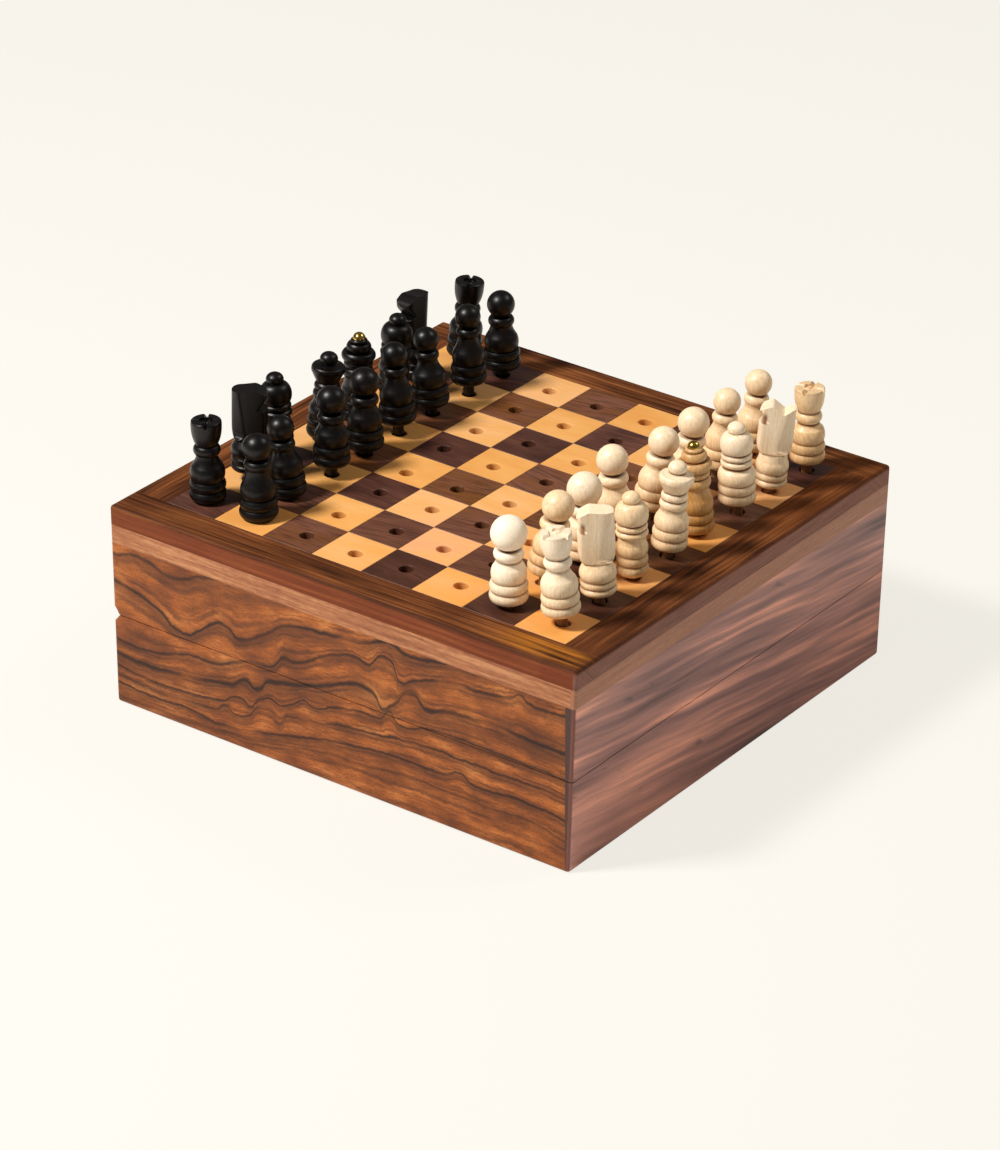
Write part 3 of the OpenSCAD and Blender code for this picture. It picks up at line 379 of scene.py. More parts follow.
def streaked_wood(name, seed=0.0, slope=0.12, lit_side_shade=0.0):
    """Purple-brown hardwood with slanting pink and dark streaks, and dark end grain at its ends.

    Height plus slope times depth, pushed about by slow noise, gives each streak its lie.
    """
    f = Finish(name)
    x, y, z = f.place()
    lie = z + y * slope + (f.noise(y * 0.02, seed, z * 0.05) - 0.5) * 4.0
    wide = f.noise(y * 0.012, seed + 2, lie * 0.13)
    narrow = f.noise(y * 0.018, seed + 4, lie * 0.42, rough=0.55)
    fine = f.noise(y * 0.10, seed + 6, lie * 3.0, detail=3, rough=0.6)
    smudge = f.noise(y * 0.10, seed + 8, (z + y * 0.35) * 0.24).step(0.66, 0.78)
    # painted light: the side is paler towards its near, lower corner
    near_low_light = y.step(0.0, -50.0) * z.step(26.0, 10.0)
    end = abs(y).step(HALF - EASE * 0.75, HALF - EASE * 0.35)
    rings = f.noise(x * 1.6, seed + 10, z * 0.25, detail=3, rough=0.7)
    outer = x.step(HALF - 1.1, HALF - 0.5)
    dark_end = f.mix(outer, rgb(48, 25, 24), rgb(92, 51, 44))
    light_end = f.mix(outer, rgb(64, 31, 24), rgb(136, 76, 56))
    pores = f.noise(x * 2.0, y * 0.8, lie * 7.0).step(0.62, 0.75)
    # the ramp is paler than the wood: painted light for the opening side, which the lamps leave in shade
    body = f.layers(f.ramp(wide * 0.5 + narrow * 0.5,
                           (0.36, rgb(101, 69, 66)), (0.45, rgb(147, 103, 98)),
                           (0.53, rgb(187, 130, 117)), (0.62, rgb(246, 170, 142))),
                    (near_low_light * 0.38, rgb(229, 163, 144)),
                    (fine.step(0.42, 0.7) * 0.24, rgb(97, 69, 66)),
                    # painted shade: the hinge side's copy, which faces the key lamp, takes back part of that
                    # painted light
                    (lit_side_shade, rgb(58, 30, 22)),
                    (smudge * 0.55, rgb(66, 53, 51)),
                    (end, f.mix(rings, dark_end, light_end)),
                    (pores * 0.3, rgb(64, 41, 39)))
    return f.close(body, 0.38 + fine * 0.12, height=fine * 0.3 + pores * -0.5, depth=0.06,
                   specular=0.4, coat=0.12)


def pale_wood():
    """The pale pinkish board between walls and top, with fine grain along its edges.

    The grain runs along x, and on the two short sides along y.
    """
    f = Finish("pale_sapwood")
    x, y, z = f.place()
    side = abs(x).step(HALF - 1.2, HALF - 0.4)
    run = x + (y - x) * side
    rest = y + (x - y) * side
    waver = (f.noise(run * 0.04, rest * 0.05, z * 0.2) - 0.5) * 3.0
    lines = f.noise(run * 0.035, 1.0, z * 1.3 + rest * 0.5 + waver, detail=4, rough=0.6)
    mottle = f.noise(run * 0.4, rest * 0.8, z * 1.6, detail=3, rough=0.7)
    body = f.ramp(lines * 0.7 + mottle * 0.3,
                  (0.38, rgb(124, 72, 43)), (0.50, rgb(158, 100, 65)), (0.62, rgb(186, 130, 88)))
    # painted sheen: both short sides are mixed towards a hazy greyish pink, the glossy reflection of the
    # shaded right side
    body = f.layers(body, (side, f.mix(0.55, body, rgb(174, 127, 106))))
    return f.close(body, 0.42 + lines * 0.1, height=lines, depth=0.05, specular=0.3)


def border_wood(name, along_x, seed):
    """Dark red-brown border; the grain runs along the strip.

    A golden patch lies at the front strip's right end, the right strip is darkest near the
    front, and the outer faces are redder than the top.
    """
    f = Finish(name)
    x, y, z = f.place()
    run, across = (x, y) if along_x else (y, x)
    lie = across + z * 1.1 + (f.noise(run * 0.03, seed, across * 0.08) - 0.5) * 2.4
    streak = f.noise(run * 0.022, seed + 1, lie * 0.9, detail=3, rough=0.6)
    fine = f.noise(run * 0.06, seed + 2, lie * 3.4, detail=4, rough=0.65)
    cloud = f.noise(run * 0.03, seed + 3, lie * 0.15)
    gold = x.step(34.0, 50.0) * x.step(66.0, 59.0) * y.step(-54.6, -56.4) * y.step(-63.0, -60.6) \
        * f.noise(x * 0.05, seed + 4, y * 0.8).step(0.32, 0.56)
    on_right = x.step(FIELD - 1.0, FIELD + 0.5)
    near = on_right * y.step(0.0, -40.0) * (1.0 - gold)
    far = on_right * y.step(-10.0, 45.0)
    flank = z.step(TOP - 0.2, TOP - 1.2)
    east_sheen = x.step(HALF - 1.0, HALF - 0.4)
    rounding = abs(x).most(abs(y)).step(HALF - 1.05, HALF - 0.55) * (1.0 - flank)
    pores = f.noise(run * 0.8, seed + 5, lie * 7.0).step(0.6, 0.72)
    body = f.layers(f.ramp(streak * 0.35 + cloud * 0.2 + fine * 0.45,
                           (0.40, rgb(42, 20, 9)), (0.47, rgb(80, 43, 20)), (0.53, rgb(116, 66, 34)),
                           (0.60, rgb(164, 100, 54))),
                    (gold * 0.75, f.mix(streak.step(0.38, 0.56), rgb(126, 74, 20), rgb(190, 118, 38))),
                    (near * 0.4, rgb(58, 26, 8)),
                    (far * 0.22, rgb(158, 88, 36)),
                    (flank * 0.4, rgb(150, 74, 50)),
                    # painted sheen: the right outer face is mixed towards a hazy greyish pink
                    (flank * east_sheen * 0.7, rgb(154, 117, 106)),
                    # painted shade: the rounded edge between the top and the outer faces is darkened against
                    # the lamp's light on it
                    (rounding * 0.4, rgb(65, 32, 20)),
                    (fine.step(0.46, 0.66) * 0.5, rgb(41, 22, 15)),
                    (pores * 0.4, rgb(33, 20, 17)))
    return f.close(body, 0.6 + fine * 0.12, height=fine * 0.3 + pores * -0.6, depth=0.06, specular=0.1)


def square_wood(name, stops, fibre_colour, seed, fibre_share, hole_shade, warm_colour):
    """Wood of the squares: each square cut from its own piece, so tone and grain change.

    The square's file and rank seed its tone, its grain's slant and where its grain begins.
    """
    f = Finish(name)
    x, y, z = f.place()
    file, rank = (x / PITCH + 4).floor(), (y / PITCH + 4).floor()
    own = f.chance(file, rank, seed)
    slant = (f.chance(rank, file, seed + 5) - 0.5) * x * 0.5
    lie = y + slant + own * 40.0
    cloud = f.noise(x * 0.07 + own * 9.0, seed, lie * 0.16)
    fine = f.noise(x * 0.12, own * 20.0, lie * 2.6, detail=3, rough=0.6)
    edge_x = abs(x / PITCH + 4 - file - 0.5)
    edge_y = abs(y / PITCH + 4 - rank - 0.5)
    rim = edge_x.most(edge_y).step(0.478, 0.5)
    deep = z.step(TOP - 0.25, TOP - 1.6)
    body = f.layers(f.ramp(own * 0.45 + cloud * 0.55, *stops),
                    (fine.step(0.45, 0.68) * fibre_share, fibre_colour),
                    ((x - y).step(-10.0, 90.0) * 0.5, warm_colour),
                    # the colour at each square's rim, and painted shade down in its hole
                    ((rim * 0.45).most(deep * hole_shade), rgb(96, 58, 34)))
    return f.close(body, 0.4 + fine * 0.1, height=fine, depth=0.03, specular=0.35)


def turned_wood(name, stops, streak_colour, streak_share, painted_shade_colour, roughness, specular, seed):
    """Wood of the men, with upright grain.

    'tone' is each man's own tone, deepened towards the foot by painted shade, and the other
    attribute is the painted shade of its grooves, its peg and the knight's hollows.
    """
    f = Finish(name)
    x, y, z = f.place()
    # each man's tone, deepened by painted shade towards the foot
    tone = f.attribute("tone")
    wander = (f.noise(x * 0.3, y * 0.3, z * 0.12) - 0.5) * 1.6
    grain = f.noise((x + wander) * 1.5 + tone * 30.0, (y + wander) * 1.5, z * 0.14 + seed, detail=3,
                    rough=0.6)
    fine = f.noise(x * 5.0, y * 5.0, z * 0.7 + seed, rough=0.6)
    lines = f.noise((x + wander) * 2.6, (y + wander) * 2.6, z * 0.08 + seed).step(0.5, 0.62)
    dirt = f.noise(x * 0.8, y * 0.8, z * 0.8 + seed, detail=3).step(0.6, 0.8)
    body = f.layers(f.ramp(tone * 0.6 + grain * 0.4, *stops),
                    (fine.step(0.5, 0.8) * streak_share, streak_colour),
                    (lines * (1.0 - tone) * streak_share * 1.2, streak_colour),
                    (dirt * streak_share * 0.4, streak_colour),
                    # painted shade in the grooves, on the peg and in the knight's hollows
                    (f.attribute("grime") * (0.75 + fine * 0.4), painted_shade_colour))
    return f.close(body, roughness + fine * 0.12, height=fine * 0.5 + grain * 0.5, depth=0.03,
                   specular=specular)


def brass():
    """Yellow brass, a little tarnished."""
    f = Finish("polished_brass")
    x, y, z = f.place()
    stain = f.noise(x * 1.2, y * 1.2, z * 1.2, detail=3)
    body = f.ramp(stain, (0.35, rgb(172, 138, 62)), (0.65, rgb(222, 190, 100)))
    return f.close(body, 0.16 + stain * 0.14, height=f.noise(x * 3.0, y * 3.0, z * 3.0), depth=0.01,
                   Metallic=1.0)


def felt():
    """Short green felt: tangled fibres in two directions."""
    f = Finish("green_felt")
    x, y, z = f.place()
    fibres = f.noise(x * 3.0, y * 9.0, 0.0, detail=3, rough=0.7) * 0.5 \
        + f.noise(x * 9.0, y * 3.0, 4.0, detail=3, rough=0.7) * 0.5
    cloud = f.noise(x * 0.06, y * 0.06, 2.0)
    body = f.ramp(fibres * 0.7 + cloud * 0.3, (0.36, rgb(26, 62, 42)), (0.62, rgb(52, 104, 72)))
    return f.close(body, 0.95, height=fibres, depth=0.25, **{"Sheen Weight": 0.4, "Sheen Roughness": 0.5})


def plywood():
    """The plain sanded bottom panel."""
    f = Finish("sanded_panel")
    x, y, z = f.place()
    waver = (f.noise(x * 0.03, 2.0, y * 0.05) - 0.5) * 8.0
    lines = f.noise(x * 0.05, 1.0, y * 0.6 + waver, detail=3, rough=0.65)
    fine = f.noise(x * 0.3, 3.0, y * 5.0)
    body = f.ramp(lines * 0.7 + fine * 0.3,
                  (0.34, rgb(140, 100, 68)), (0.52, rgb(176, 134, 94)), (0.68, rgb(198, 158, 116)))
    return f.close(body, 0.6 + fine * 0.15, height=fine, depth=0.05)


WOODS = {
    "front": figured_wood("figured_front"),
    "back": figured_wood("figured_back", mirror=-1.0, shift=9.0, seed=31.0),
    "opening": streaked_wood("streaked_opening_side"),
    # the hinge side faces the key lamp, so it is darkened by painted shade
    "hinge": streaked_wood("streaked_hinge_side", seed=40.0, slope=-0.08, lit_side_shade=0.5),
    "pale": pale_wood(),
    "border_x": border_wood("border_along_width", True, 2.0),
    "border_y": border_wood("border_along_depth", False, 22.0),
    "light": square_wood("light_squares_maple",
                         [(0.25, rgb(219, 153, 79)), (0.42, rgb(226, 165, 92)), (0.60, rgb(232, 176, 116)),
                          (0.80, rgb(230, 168, 127))], fibre_colour=rgb(193, 127, 69), seed=3.0,
                         fibre_share=0.2, hole_shade=0.1, warm_colour=rgb(226, 150, 66)),
    "dark": square_wood("dark_squares_walnut",
                        [(0.22, rgb(58, 31, 24)), (0.42, rgb(90, 53, 42)), (0.58, rgb(118, 74, 56)),
                         (0.78, rgb(114, 68, 28))], fibre_colour=rgb(42, 23, 16), seed=11.0,
                        fibre_share=0.75, hole_shade=0.35, warm_colour=rgb(58, 29, 10)),
    "boxwood": turned_wood("turned_boxwood",
                           [(0.10, rgb(184, 130, 58)), (0.36, rgb(236, 202, 154)),
                            (0.54, rgb(246, 222, 186)), (0.72, rgb(252, 238, 216))],
                           streak_colour=rgb(206, 158, 104), streak_share=0.45,
                           painted_shade_colour=rgb(118, 66, 22), roughness=0.34, specular=0.5, seed=0.0),
    "ebony": turned_wood("turned_ebonised",
                         [(0.20, rgb(2, 1, 1)), (0.60, rgb(5, 3, 3)), (0.85, rgb(11, 6, 6))],
                         streak_colour=rgb(22, 12, 12), streak_share=0.3, painted_shade_colour=rgb(0, 0, 0),
                         roughness=0.31, specular=0.3, seed=50.0),
}
BRASS, FELT, PLYWOOD = brass(), felt(), plywood()


# ---- Meshes ----

CREASE = math.radians(32)  # edges that turn more than this stay sharp
DOUBLE, SLIVER = 2e-6, 1e-6  # metres within which points are one
# painted shade at a man's foot
FOOT_SHADE = 0.26  # how much deeper a man's tone is at its foot


def make_piece(name, points, faces, material, body, slot, nodes, tone=None):
    """Puts a numpy surface into a mesh: doubles merged, faces outwards, sharp where it creases.

    A man's points have two more columns: painted shade for its grooves, peg and hollows, and how
    near its foot they are. They become the attributes for painted shade and 'tone', which painted
    shade deepens towards the foot.
    """
    mesh = bpy.data.meshes.new(name)
    mesh.from_pydata((points[:, :3] * MM).tolist(), [], faces.tolist())
    if tone is not None:
        # 'tone' takes painted shade towards the foot; the other attribute is painted shade
        for label, values in (("tone", tone - FOOT_SHADE * points[:, 4]), ("grime", points[:, 3])):
            layer = mesh.attributes.new(label, "FLOAT", "POINT")
            layer.data.foreach_set("value", values.astype(np.float32))
    work = bmesh.new()
    work.from_mesh(mesh)
    bmesh.ops.remove_doubles(work, verts=work.verts, dist=DOUBLE)
    bmesh.ops.dissolve_degenerate(work, edges=work.edges, dist=SLIVER)
    bmesh.ops.recalc_face_normals(work, faces=work.faces)
    work.to_mesh(mesh)
    work.free()
    mesh.shade_smooth()
    mesh.set_sharp_from_angle(angle=CREASE)
    mesh.materials.append(material)
    thing = bpy.data.objects.new(name, mesh)
    bpy.context.scene.collection.objects.link(thing)
    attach(thing, body)
    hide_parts(*nodes)
    return thing


def grid_faces(rows, columns, wrap=False):
    """Quads of a grid of rows x columns points; wrap joins the last column to the first."""
    r = np.arange(rows - 1)[:, None]
    c = np.arange(columns if wrap else columns - 1)[None, :]
    n = (c + 1) % columns
    a, b = r * columns + c, r * columns + n
    return np.stack([a, b, b + columns, a + columns], -1).reshape(-1, 4)


def join(parts):
    """Several (points, faces) as one: each part's faces count on from the points before it."""
    starts = np.cumsum([0] + [len(p) for p, _ in parts[:-1]])
    return np.vstack([p for p, _ in parts]), np.vstack([f + s for (_, f), s in zip(parts, starts)])


# ---- Planks ----

ARC_LINES = 6  # grid lines over a rounded edge
BESIDE = 0.25  # width of the narrow faces beside it, which keep the flat ones flat in shading


def ticks(low, high, ease_low, ease_high, ease, extra=()):
    """Grid lines along one side of a block: close together where an edge is rounded."""
    inside = [low + (ease if ease_low else 0), high - (ease if ease_high else 0)]
    lines = [low, high, *inside, inside[0] + BESIDE, inside[1] - BESIDE, *extra]
    if ease_low:
        lines += list(np.linspace(low, low + ease, ARC_LINES))
    if ease_high:
        lines += list(np.linspace(high - ease, high, ARC_LINES))
    return np.unique(np.round(lines, 6))


def block(low, high, eased, ease=EASE, extra=((), (), ())):
    """A box whose edges between two eased sides are rounded.

    A point of the box's surface is split into the nearest point of an inner box, drawn in by
    ease on the eased sides, and what is left over. What is left over keeps its direction and
    takes its largest component as its length, so that flat faces stay and edges become arcs.
    eased names the sides: '-x', '+z' and so on. extra holds more grid lines for each axis.
    """
    low, high = np.array(low, float), np.array(high, float)
    sides = [["-" + a in eased, "+" + a in eased] for a in "xyz"]
    lines = [ticks(low[k], high[k], *sides[k], ease, extra[k]) for k in range(3)]
    inner_low = low + np.array([ease * s[0] for s in sides])
    inner_high = high - np.array([ease * s[1] for s in sides])
    parts = []
    for axis in range(3):
        u, v = [k for k in range(3) if k != axis]
        for level in (low[axis], high[axis]):
            a, b = np.meshgrid(lines[u], lines[v], indexing="ij")
            p = np.zeros(a.shape + (3,))
            p[..., u], p[..., v], p[..., axis] = a, b, level
            parts.append((p.reshape(-1, 3), grid_faces(*a.shape)))
    points, faces = join(parts)
    near = np.clip(points, inner_low, inner_high)
    over = points - near
    length = np.linalg.norm(over, axis=1, keepdims=True)
    largest = np.abs(over).max(axis=1, keepdims=True)
    return near + over * largest / np.maximum(length, 1e-9), faces


def lap(z):
    """Width of the opening wall's tongue at a height: it narrows evenly downwards."""
    return LAP_BOTTOM + (LAP_TOP - LAP_BOTTOM) * z / WALLS_TOP


def lean_in(points, inner_x):
    """Leans the hinge side: its outer face moves in by LEAN at the bottom, inner_x stays."""
    share = np.clip((inner_x - points[:, 0]) / (inner_x + HALF), 0, 1)
    points[:, 0] += LEAN * (1 - points[:, 2] / TOP) * share
    return points


def groove(points):
    """Cuts the V between the two bevels: near the seam no point lies left of the 45 degree planes."""
    seam_x = -HALF + LEAN * (1 - SEAM_Z / TOP)
    away = np.abs(points[:, 2] - SEAM_Z) - SEAM_GAP / 2
    cut = seam_x + BEVEL - away
    points[:, 0] = np.where(away < BEVEL, np.maximum(points[:, 0], cut), points[:, 0])
    return points


def long_wall(z0, z1, front, eased_end):
    """A front or back wall: leaning left end with its bevel, right end under the tongue.

    Its length shrinks evenly from the left end to the tongue's width at each height, and a wall
    that stands on z = 0 steps back where the bottom panel lies in it.
    """
    sign = -1 if front else 1
    y = sorted([sign * HALF, sign * (HALF - WALL)])
    bevel_lines = [z for z in (SEAM_Z - SEAM_GAP / 2 - BEVEL, SEAM_Z + SEAM_GAP / 2 + BEVEL) if z0 < z < z1]
    right = HALF - LAP_BOTTOM
    step_x = [PANEL_X[0] - SLIT, PANEL_X[0] + SLIT, PANEL_X[1] - SLIT, PANEL_X[1] + SLIT] if z0 == 0 else []
    step_z = [PANEL_T, PANEL_T + SLIT] if z0 == 0 else []
    points, faces = block((-HALF, y[0], z0), (right, y[1], z1), ["-x", "-y" if front else "+y", *eased_end],
                          extra=(step_x, [sign * REBATE_FACE], bevel_lines + step_z))
    points[:, 0] -= np.clip(points[:, 0] / right, 0, 1) * (lap(points[:, 2]) - LAP_BOTTOM)
    if z0 < PANEL_T:
        low = (points[:, 2] < PANEL_T + SLIT / 2) & (points[:, 0] > PANEL_X[0]) & (points[:, 0] < PANEL_X[1])
        stepped = sign * np.clip(sign * points[:, 1], REBATE_FACE, HALF)
        points[:, 1] = np.where(low, stepped, points[:, 1])
    return groove(lean_in(points, -HALF + LEAN_FADE)), faces


def opening_wall(z0, z1, eased_end):
    """The right wall: a tongue over its neighbours' ends, and the plank between them.

    The tongue is a block with rounded edges, narrowed from the rounding inwards to the tongue's
    width at each height. The plank's outer face lies on the tongue.
    """
    points, faces = block((HALF - TONGUE, -HALF, z0), (HALF, HALF, z1), ["+x", "-y", "+y", *eased_end])
    start = HALF - EASE
    back = (start - points[:, 0]) / (TONGUE - EASE)
    narrowed = start - back * (lap(points[:, 2]) - EASE)
    points[:, 0] = np.where(back > 0, narrowed, points[:, 0])
    step_z = [PANEL_T, PANEL_T + SLIT] if z0 == 0 else []
    plank, plank_faces = block((HALF - WALL, -HALF + WALL, z0), (HALF - LAP_TOP, HALF - WALL, z1), [],
                               extra=((REBATE_FACE,), (), step_z))
    outer = plank[:, 0] > HALF - LAP_TOP - SLIT
    plank[:, 0] = np.where(outer, HALF - lap(plank[:, 2]), plank[:, 0])
    if z0 < PANEL_T:
        low = plank[:, 2] < PANEL_T + SLIT / 2
        plank[:, 0] = np.where(low, np.maximum(plank[:, 0], REBATE_FACE), plank[:, 0])
    return join([(points, faces), (plank, plank_faces)])


# ---- Profiles of the turned men, as (radius, height) ----

BULGE, COLLAR_BULGE = 0.4, 0.5  # how deep the grooves beside a ring are
FOOT_LOWER, FOOT_UPPER = 2.2, 2.4  # heights of the foot's two rings
FOOT_H = FOOT_LOWER + FOOT_UPPER
GROOVE_REACH = 0.9  # how far up and down a groove's wider neighbours are looked for
GROOVE_SHADE_FROM, GROOVE_SHADE_FULL = 0.05, 0.4  # groove depth where painted shade begins, and how much more fills it
# painted shade on the peg, which stands in the shadow under the foot
PEG_SHADE = 0.75
# heights over which the painted shade at a man's foot fades out
SHADE_TOP, SHADE_SPAN = 13.0, 10.0


def edge_ring(z, h, r, bulge=BULGE):
    """Profile of a turned ring: its radius is r less bulge times t^2.1, where t is the distance
    from the middle of its height, so that the edge is nearly flat and the grooves are narrow."""
    t = np.linspace(-1, 1, 15)
    t = np.sign(t) * np.abs(t) ** 0.8
    return np.stack([r - bulge * np.abs(t) ** 2.1, z + (t + 1) * h / 2], -1)


def line(*points, steps=1):
    """A straight profile through some (radius, height) points."""
    points = np.array(points, float)
    at = np.linspace(0, len(points) - 1, (len(points) - 1) * steps + 1)
    return np.stack([np.interp(at, np.arange(len(points)), points[:, k]) for k in (0, 1)], -1)


def rise(r, seat):
    """Height of a ball's middle above the seat on which its radius is seat."""
    return math.sqrt(r * r - seat * seat)


def arc_ball(z, r, seat):
    """Profile of a ball that stands on its seat at z: an arc from the seat up to the pole."""
    t = np.linspace(-math.asin(rise(r, seat) / r), math.pi / 2, 26)
    return np.stack([r * np.cos(t), z + rise(r, seat) + r * np.sin(t)], -1)


def knob(z, r, seat, flat=0.78):
    """Profile of a ball on its seat, pressed flat by a factor."""
    ball = arc_ball(0, r, seat)
    return np.stack([ball[:, 0], z + ball[:, 1] * flat], -1)


def dome(z, r0, r, r1, low, high, power=2.2):
    """Profile of a rounded head: from r0 out to r over low, and in to r1 over high.

    Both parts are quarters of a superellipse, |u|^power + |v|^power = 1.
    """
    a = np.linspace(0, math.pi / 2, 12)
    bend = np.stack([np.sin(a), np.cos(a)]) ** (2 / power)
    lower = np.stack([r0 + (r - r0) * bend[0], z + low * (1 - bend[1])], -1)
    upper = np.stack([r1 + (r - r1) * bend[1], z + low + high * bend[0]], -1)
    return np.vstack([lower, upper])


def curved(z, h, r0, r1, power=1.7):
    """Profile of a curved side: r = r1 + (r0 - r1) (1 - t)^power while z rises by h."""
    t = np.linspace(0, 1, 13)
    return np.stack([r1 + (r0 - r1) * (1 - t) ** power, z + h * t], -1)


def swell(z, h, r, neck, low=3.4):
    """Profile of the body: a ring swells to r, and a curved side draws in to the neck."""
    return np.vstack([edge_ring(z, low, r), curved(z + low, h - low, r - BULGE, neck)])


def peg(stand):
    """Profile of the peg, from the middle of its tip up to the foot's underside."""
    length = BOARD_T + stand - PEG_FLOOR_GAP
    return line((0, -length), (PEG_R - PEG_TIP, -length), (PEG_R, -length + PEG_TIP), (PEG_R, 0))


def foot(r, lower=FOOT_LOWER, upper=FOOT_UPPER):
    """Profile of the foot: two rings, the upper one a little narrower."""
    return np.vstack([edge_ring(0, lower, r), edge_ring(lower, upper, r - 0.1)])


def foot_shade_share(z):
    """Share of painted shade on a man: 1 at the foot and 0 from 13 mm up."""
    return np.clip((SHADE_TOP - z) / SHADE_SPAN, 0, 1)


def spin(profile, columns=72):
    """Turns a (radius, height) profile about the upright axis: x = r cos a, y = r sin a.

    Painted shade, the shade in a groove, is how far a point lies inside both the widest radius a
    little above it and the widest one a little below it. The peg under the foot gets painted shade too.
    """
    a = np.linspace(0, 2 * math.pi, columns, endpoint=False)
    r, z = profile[:, :1], profile[:, 1:]
    near = np.abs(z - z.T) < GROOVE_REACH
    above = np.where(near & (z.T >= z), r.T, 0).max(axis=1)
    below = np.where(near & (z.T <= z), r.T, 0).max(axis=1)
    depth = np.minimum(above, below)[:, None] - r
    grime = np.clip((depth - GROOVE_SHADE_FROM) / GROOVE_SHADE_FULL, 0, 1) * (r > 0.2)
    # painted shade: the peg under the foot is darkened
    grime = np.where(z < -0.01, PEG_SHADE, grime)
    points = np.stack([r * np.cos(a), r * np.sin(a), z + 0 * a, grime + 0 * a, foot_shade_share(z) + 0 * a], -1)
    return points.reshape(-1, 5), grid_faces(len(profile), columns, wrap=True)


# ---- The men's patterns ----
# Each takes its man's stand above the board, how much taller and wider it is than the pattern,
# and the last number of its row in MEN.

def pawn(stand, taller, wider, ball):
    """A pawn: foot, body, collar and ball. The ball's middle has a fixed height, and the collar
    lies under the ball's seat."""
    foot_r, swell_r, middle_z = 4.45 + wider, 4.05 + wider, 15.8 + taller
    collar, collar_h = min(3.4, ball - 0.2), 2.2
    neck = min(2.7, collar - COLLAR_BULGE)
    seat = 0.42 * ball
    ball_z = middle_z - rise(ball, seat)
    collar_z = ball_z - collar_h
    return spin(np.vstack([peg(stand), foot(foot_r), swell(FOOT_H, collar_z - FOOT_H, swell_r, neck),
                           edge_ring(collar_z, collar_h, collar, COLLAR_BULGE),
                           arc_ball(ball_z, ball, seat)]))


def rook(stand, taller, wider, _):
    """A rook: the turned form, whose rim is then cut by two crossing V grooves."""
    body, foot_r, swell_r, neck = 5.9 + taller, 4.35 + wider, 4.1 + wider, 2.4
    collar_h, collar_r, tower_h, rim_h, rim_r = 2.3, 3.1, 6, 0.8, 3.5
    well_r, well_depth, crown_shade = 1.6, 0.6, 0.15
    cut_depth, cut_half = 1.0, 0.6
    collar_z = FOOT_H + body
    tower_z = collar_z + collar_h
    top_z = tower_z + tower_h
    points, faces = spin(np.vstack([
        peg(stand), foot(foot_r), swell(FOOT_H, body, swell_r, neck),
        edge_ring(collar_z, collar_h, collar_r, COLLAR_BULGE),
        curved(tower_z, tower_h - rim_h, neck, rim_r, power=2.6),
        line((rim_r, top_z - rim_h), (3.47, top_z - 0.4), (3.38, top_z - 0.12), (3.22, top_z),
             (well_r, top_z), steps=3),
        line((well_r, top_z), (well_r - 0.1, top_z - well_depth), (0, top_z - well_depth), steps=4)]),
        columns=112)
    # painted shade: everything from the well's floor up gets a light, even painted shade
    points[:, 3] = np.where(points[:, 2] > top_z - well_depth - 0.1, crown_shade, points[:, 3])
    near = np.minimum(np.abs(points[:, 0]), np.abs(points[:, 1]))
    cut = top_z - cut_depth * np.clip(1 - near / cut_half, 0, 1)
    on_crown = points[:, 2] > top_z - cut_depth - 0.25
    points[:, 2] = np.where(on_crown, np.minimum(points[:, 2], cut), points[:, 2])
    return points, faces


def bishop(stand, taller, wider, _):
    """A bishop: foot, body, two thin rings, and a rounded head under a flat knob."""
    body, foot_r, swell_r, neck, swell_h = 4.5 + taller, 3.8 + wider, 3.75 + wider, 3.0, 2.9
    collar_h, collar_r, ruff_h, ruff_r = 1.5, 3.65, 1.6, 3.5
    head_low, head_high, head_r, throat_r, crown_r = 2.0, 2.9, 3.75, 2.85, 1.7
    knob_r, knob_seat = 2.05, 1.75
    collar_z = FOOT_H + body
    ruff_z = collar_z + collar_h
    head_z = ruff_z + ruff_h
    return spin(np.vstack([
        peg(stand), foot(foot_r), swell(FOOT_H, body, swell_r, neck, swell_h),
        edge_ring(collar_z, collar_h, collar_r, COLLAR_BULGE),
        edge_ring(ruff_z, ruff_h, ruff_r, COLLAR_BULGE),
        dome(head_z, throat_r, head_r, crown_r, head_low, head_high, power=2.0),
        knob(head_z + head_low + head_high, knob_r, knob_seat)]))


def queen(stand, taller, wider, _):
    """A queen: foot, body, two rings, and a bell-shaped crown under a flat knob.

    The bell's radius is 2.4 + 1.4 t^0.85 while it rises.
    """
    body, foot_r, swell_r, neck, swell_h = 4.8 + taller, 4.15 + wider, 3.9 + wider, 2.8, 2.9
    collar_h, collar_r, ruff_h, ruff_r = 2, 3.2, 1.9, 3.0
    bell_h, bell_r, crown_h, knob_r, knob_seat = 2.7, 2.4, 4.1, 2.1, 1.6
    collar_z = FOOT_H + body
    ruff_z = collar_z + collar_h
    crown_z = ruff_z + ruff_h
    brow_z = crown_z + crown_h
    knob_z = brow_z + 0.6
    t = np.linspace(0, 1, 12)
    bell = np.stack([bell_r + 1.4 * t ** 0.85, crown_z + bell_h * t], -1)
    return spin(np.vstack([
        peg(stand), foot(foot_r), swell(FOOT_H, body, swell_r, neck, swell_h),
        edge_ring(collar_z, collar_h, collar_r, COLLAR_BULGE),
        edge_ring(ruff_z, ruff_h, ruff_r, COLLAR_BULGE),
        bell, dome(crown_z + bell_h, 3.8, 3.92, 3.3, 0.6, 0.9),
        line((3.2, brow_z + 0.1), (knob_seat, knob_z), steps=3), knob(knob_z, knob_r, knob_seat)]))


KING_H = 20.0


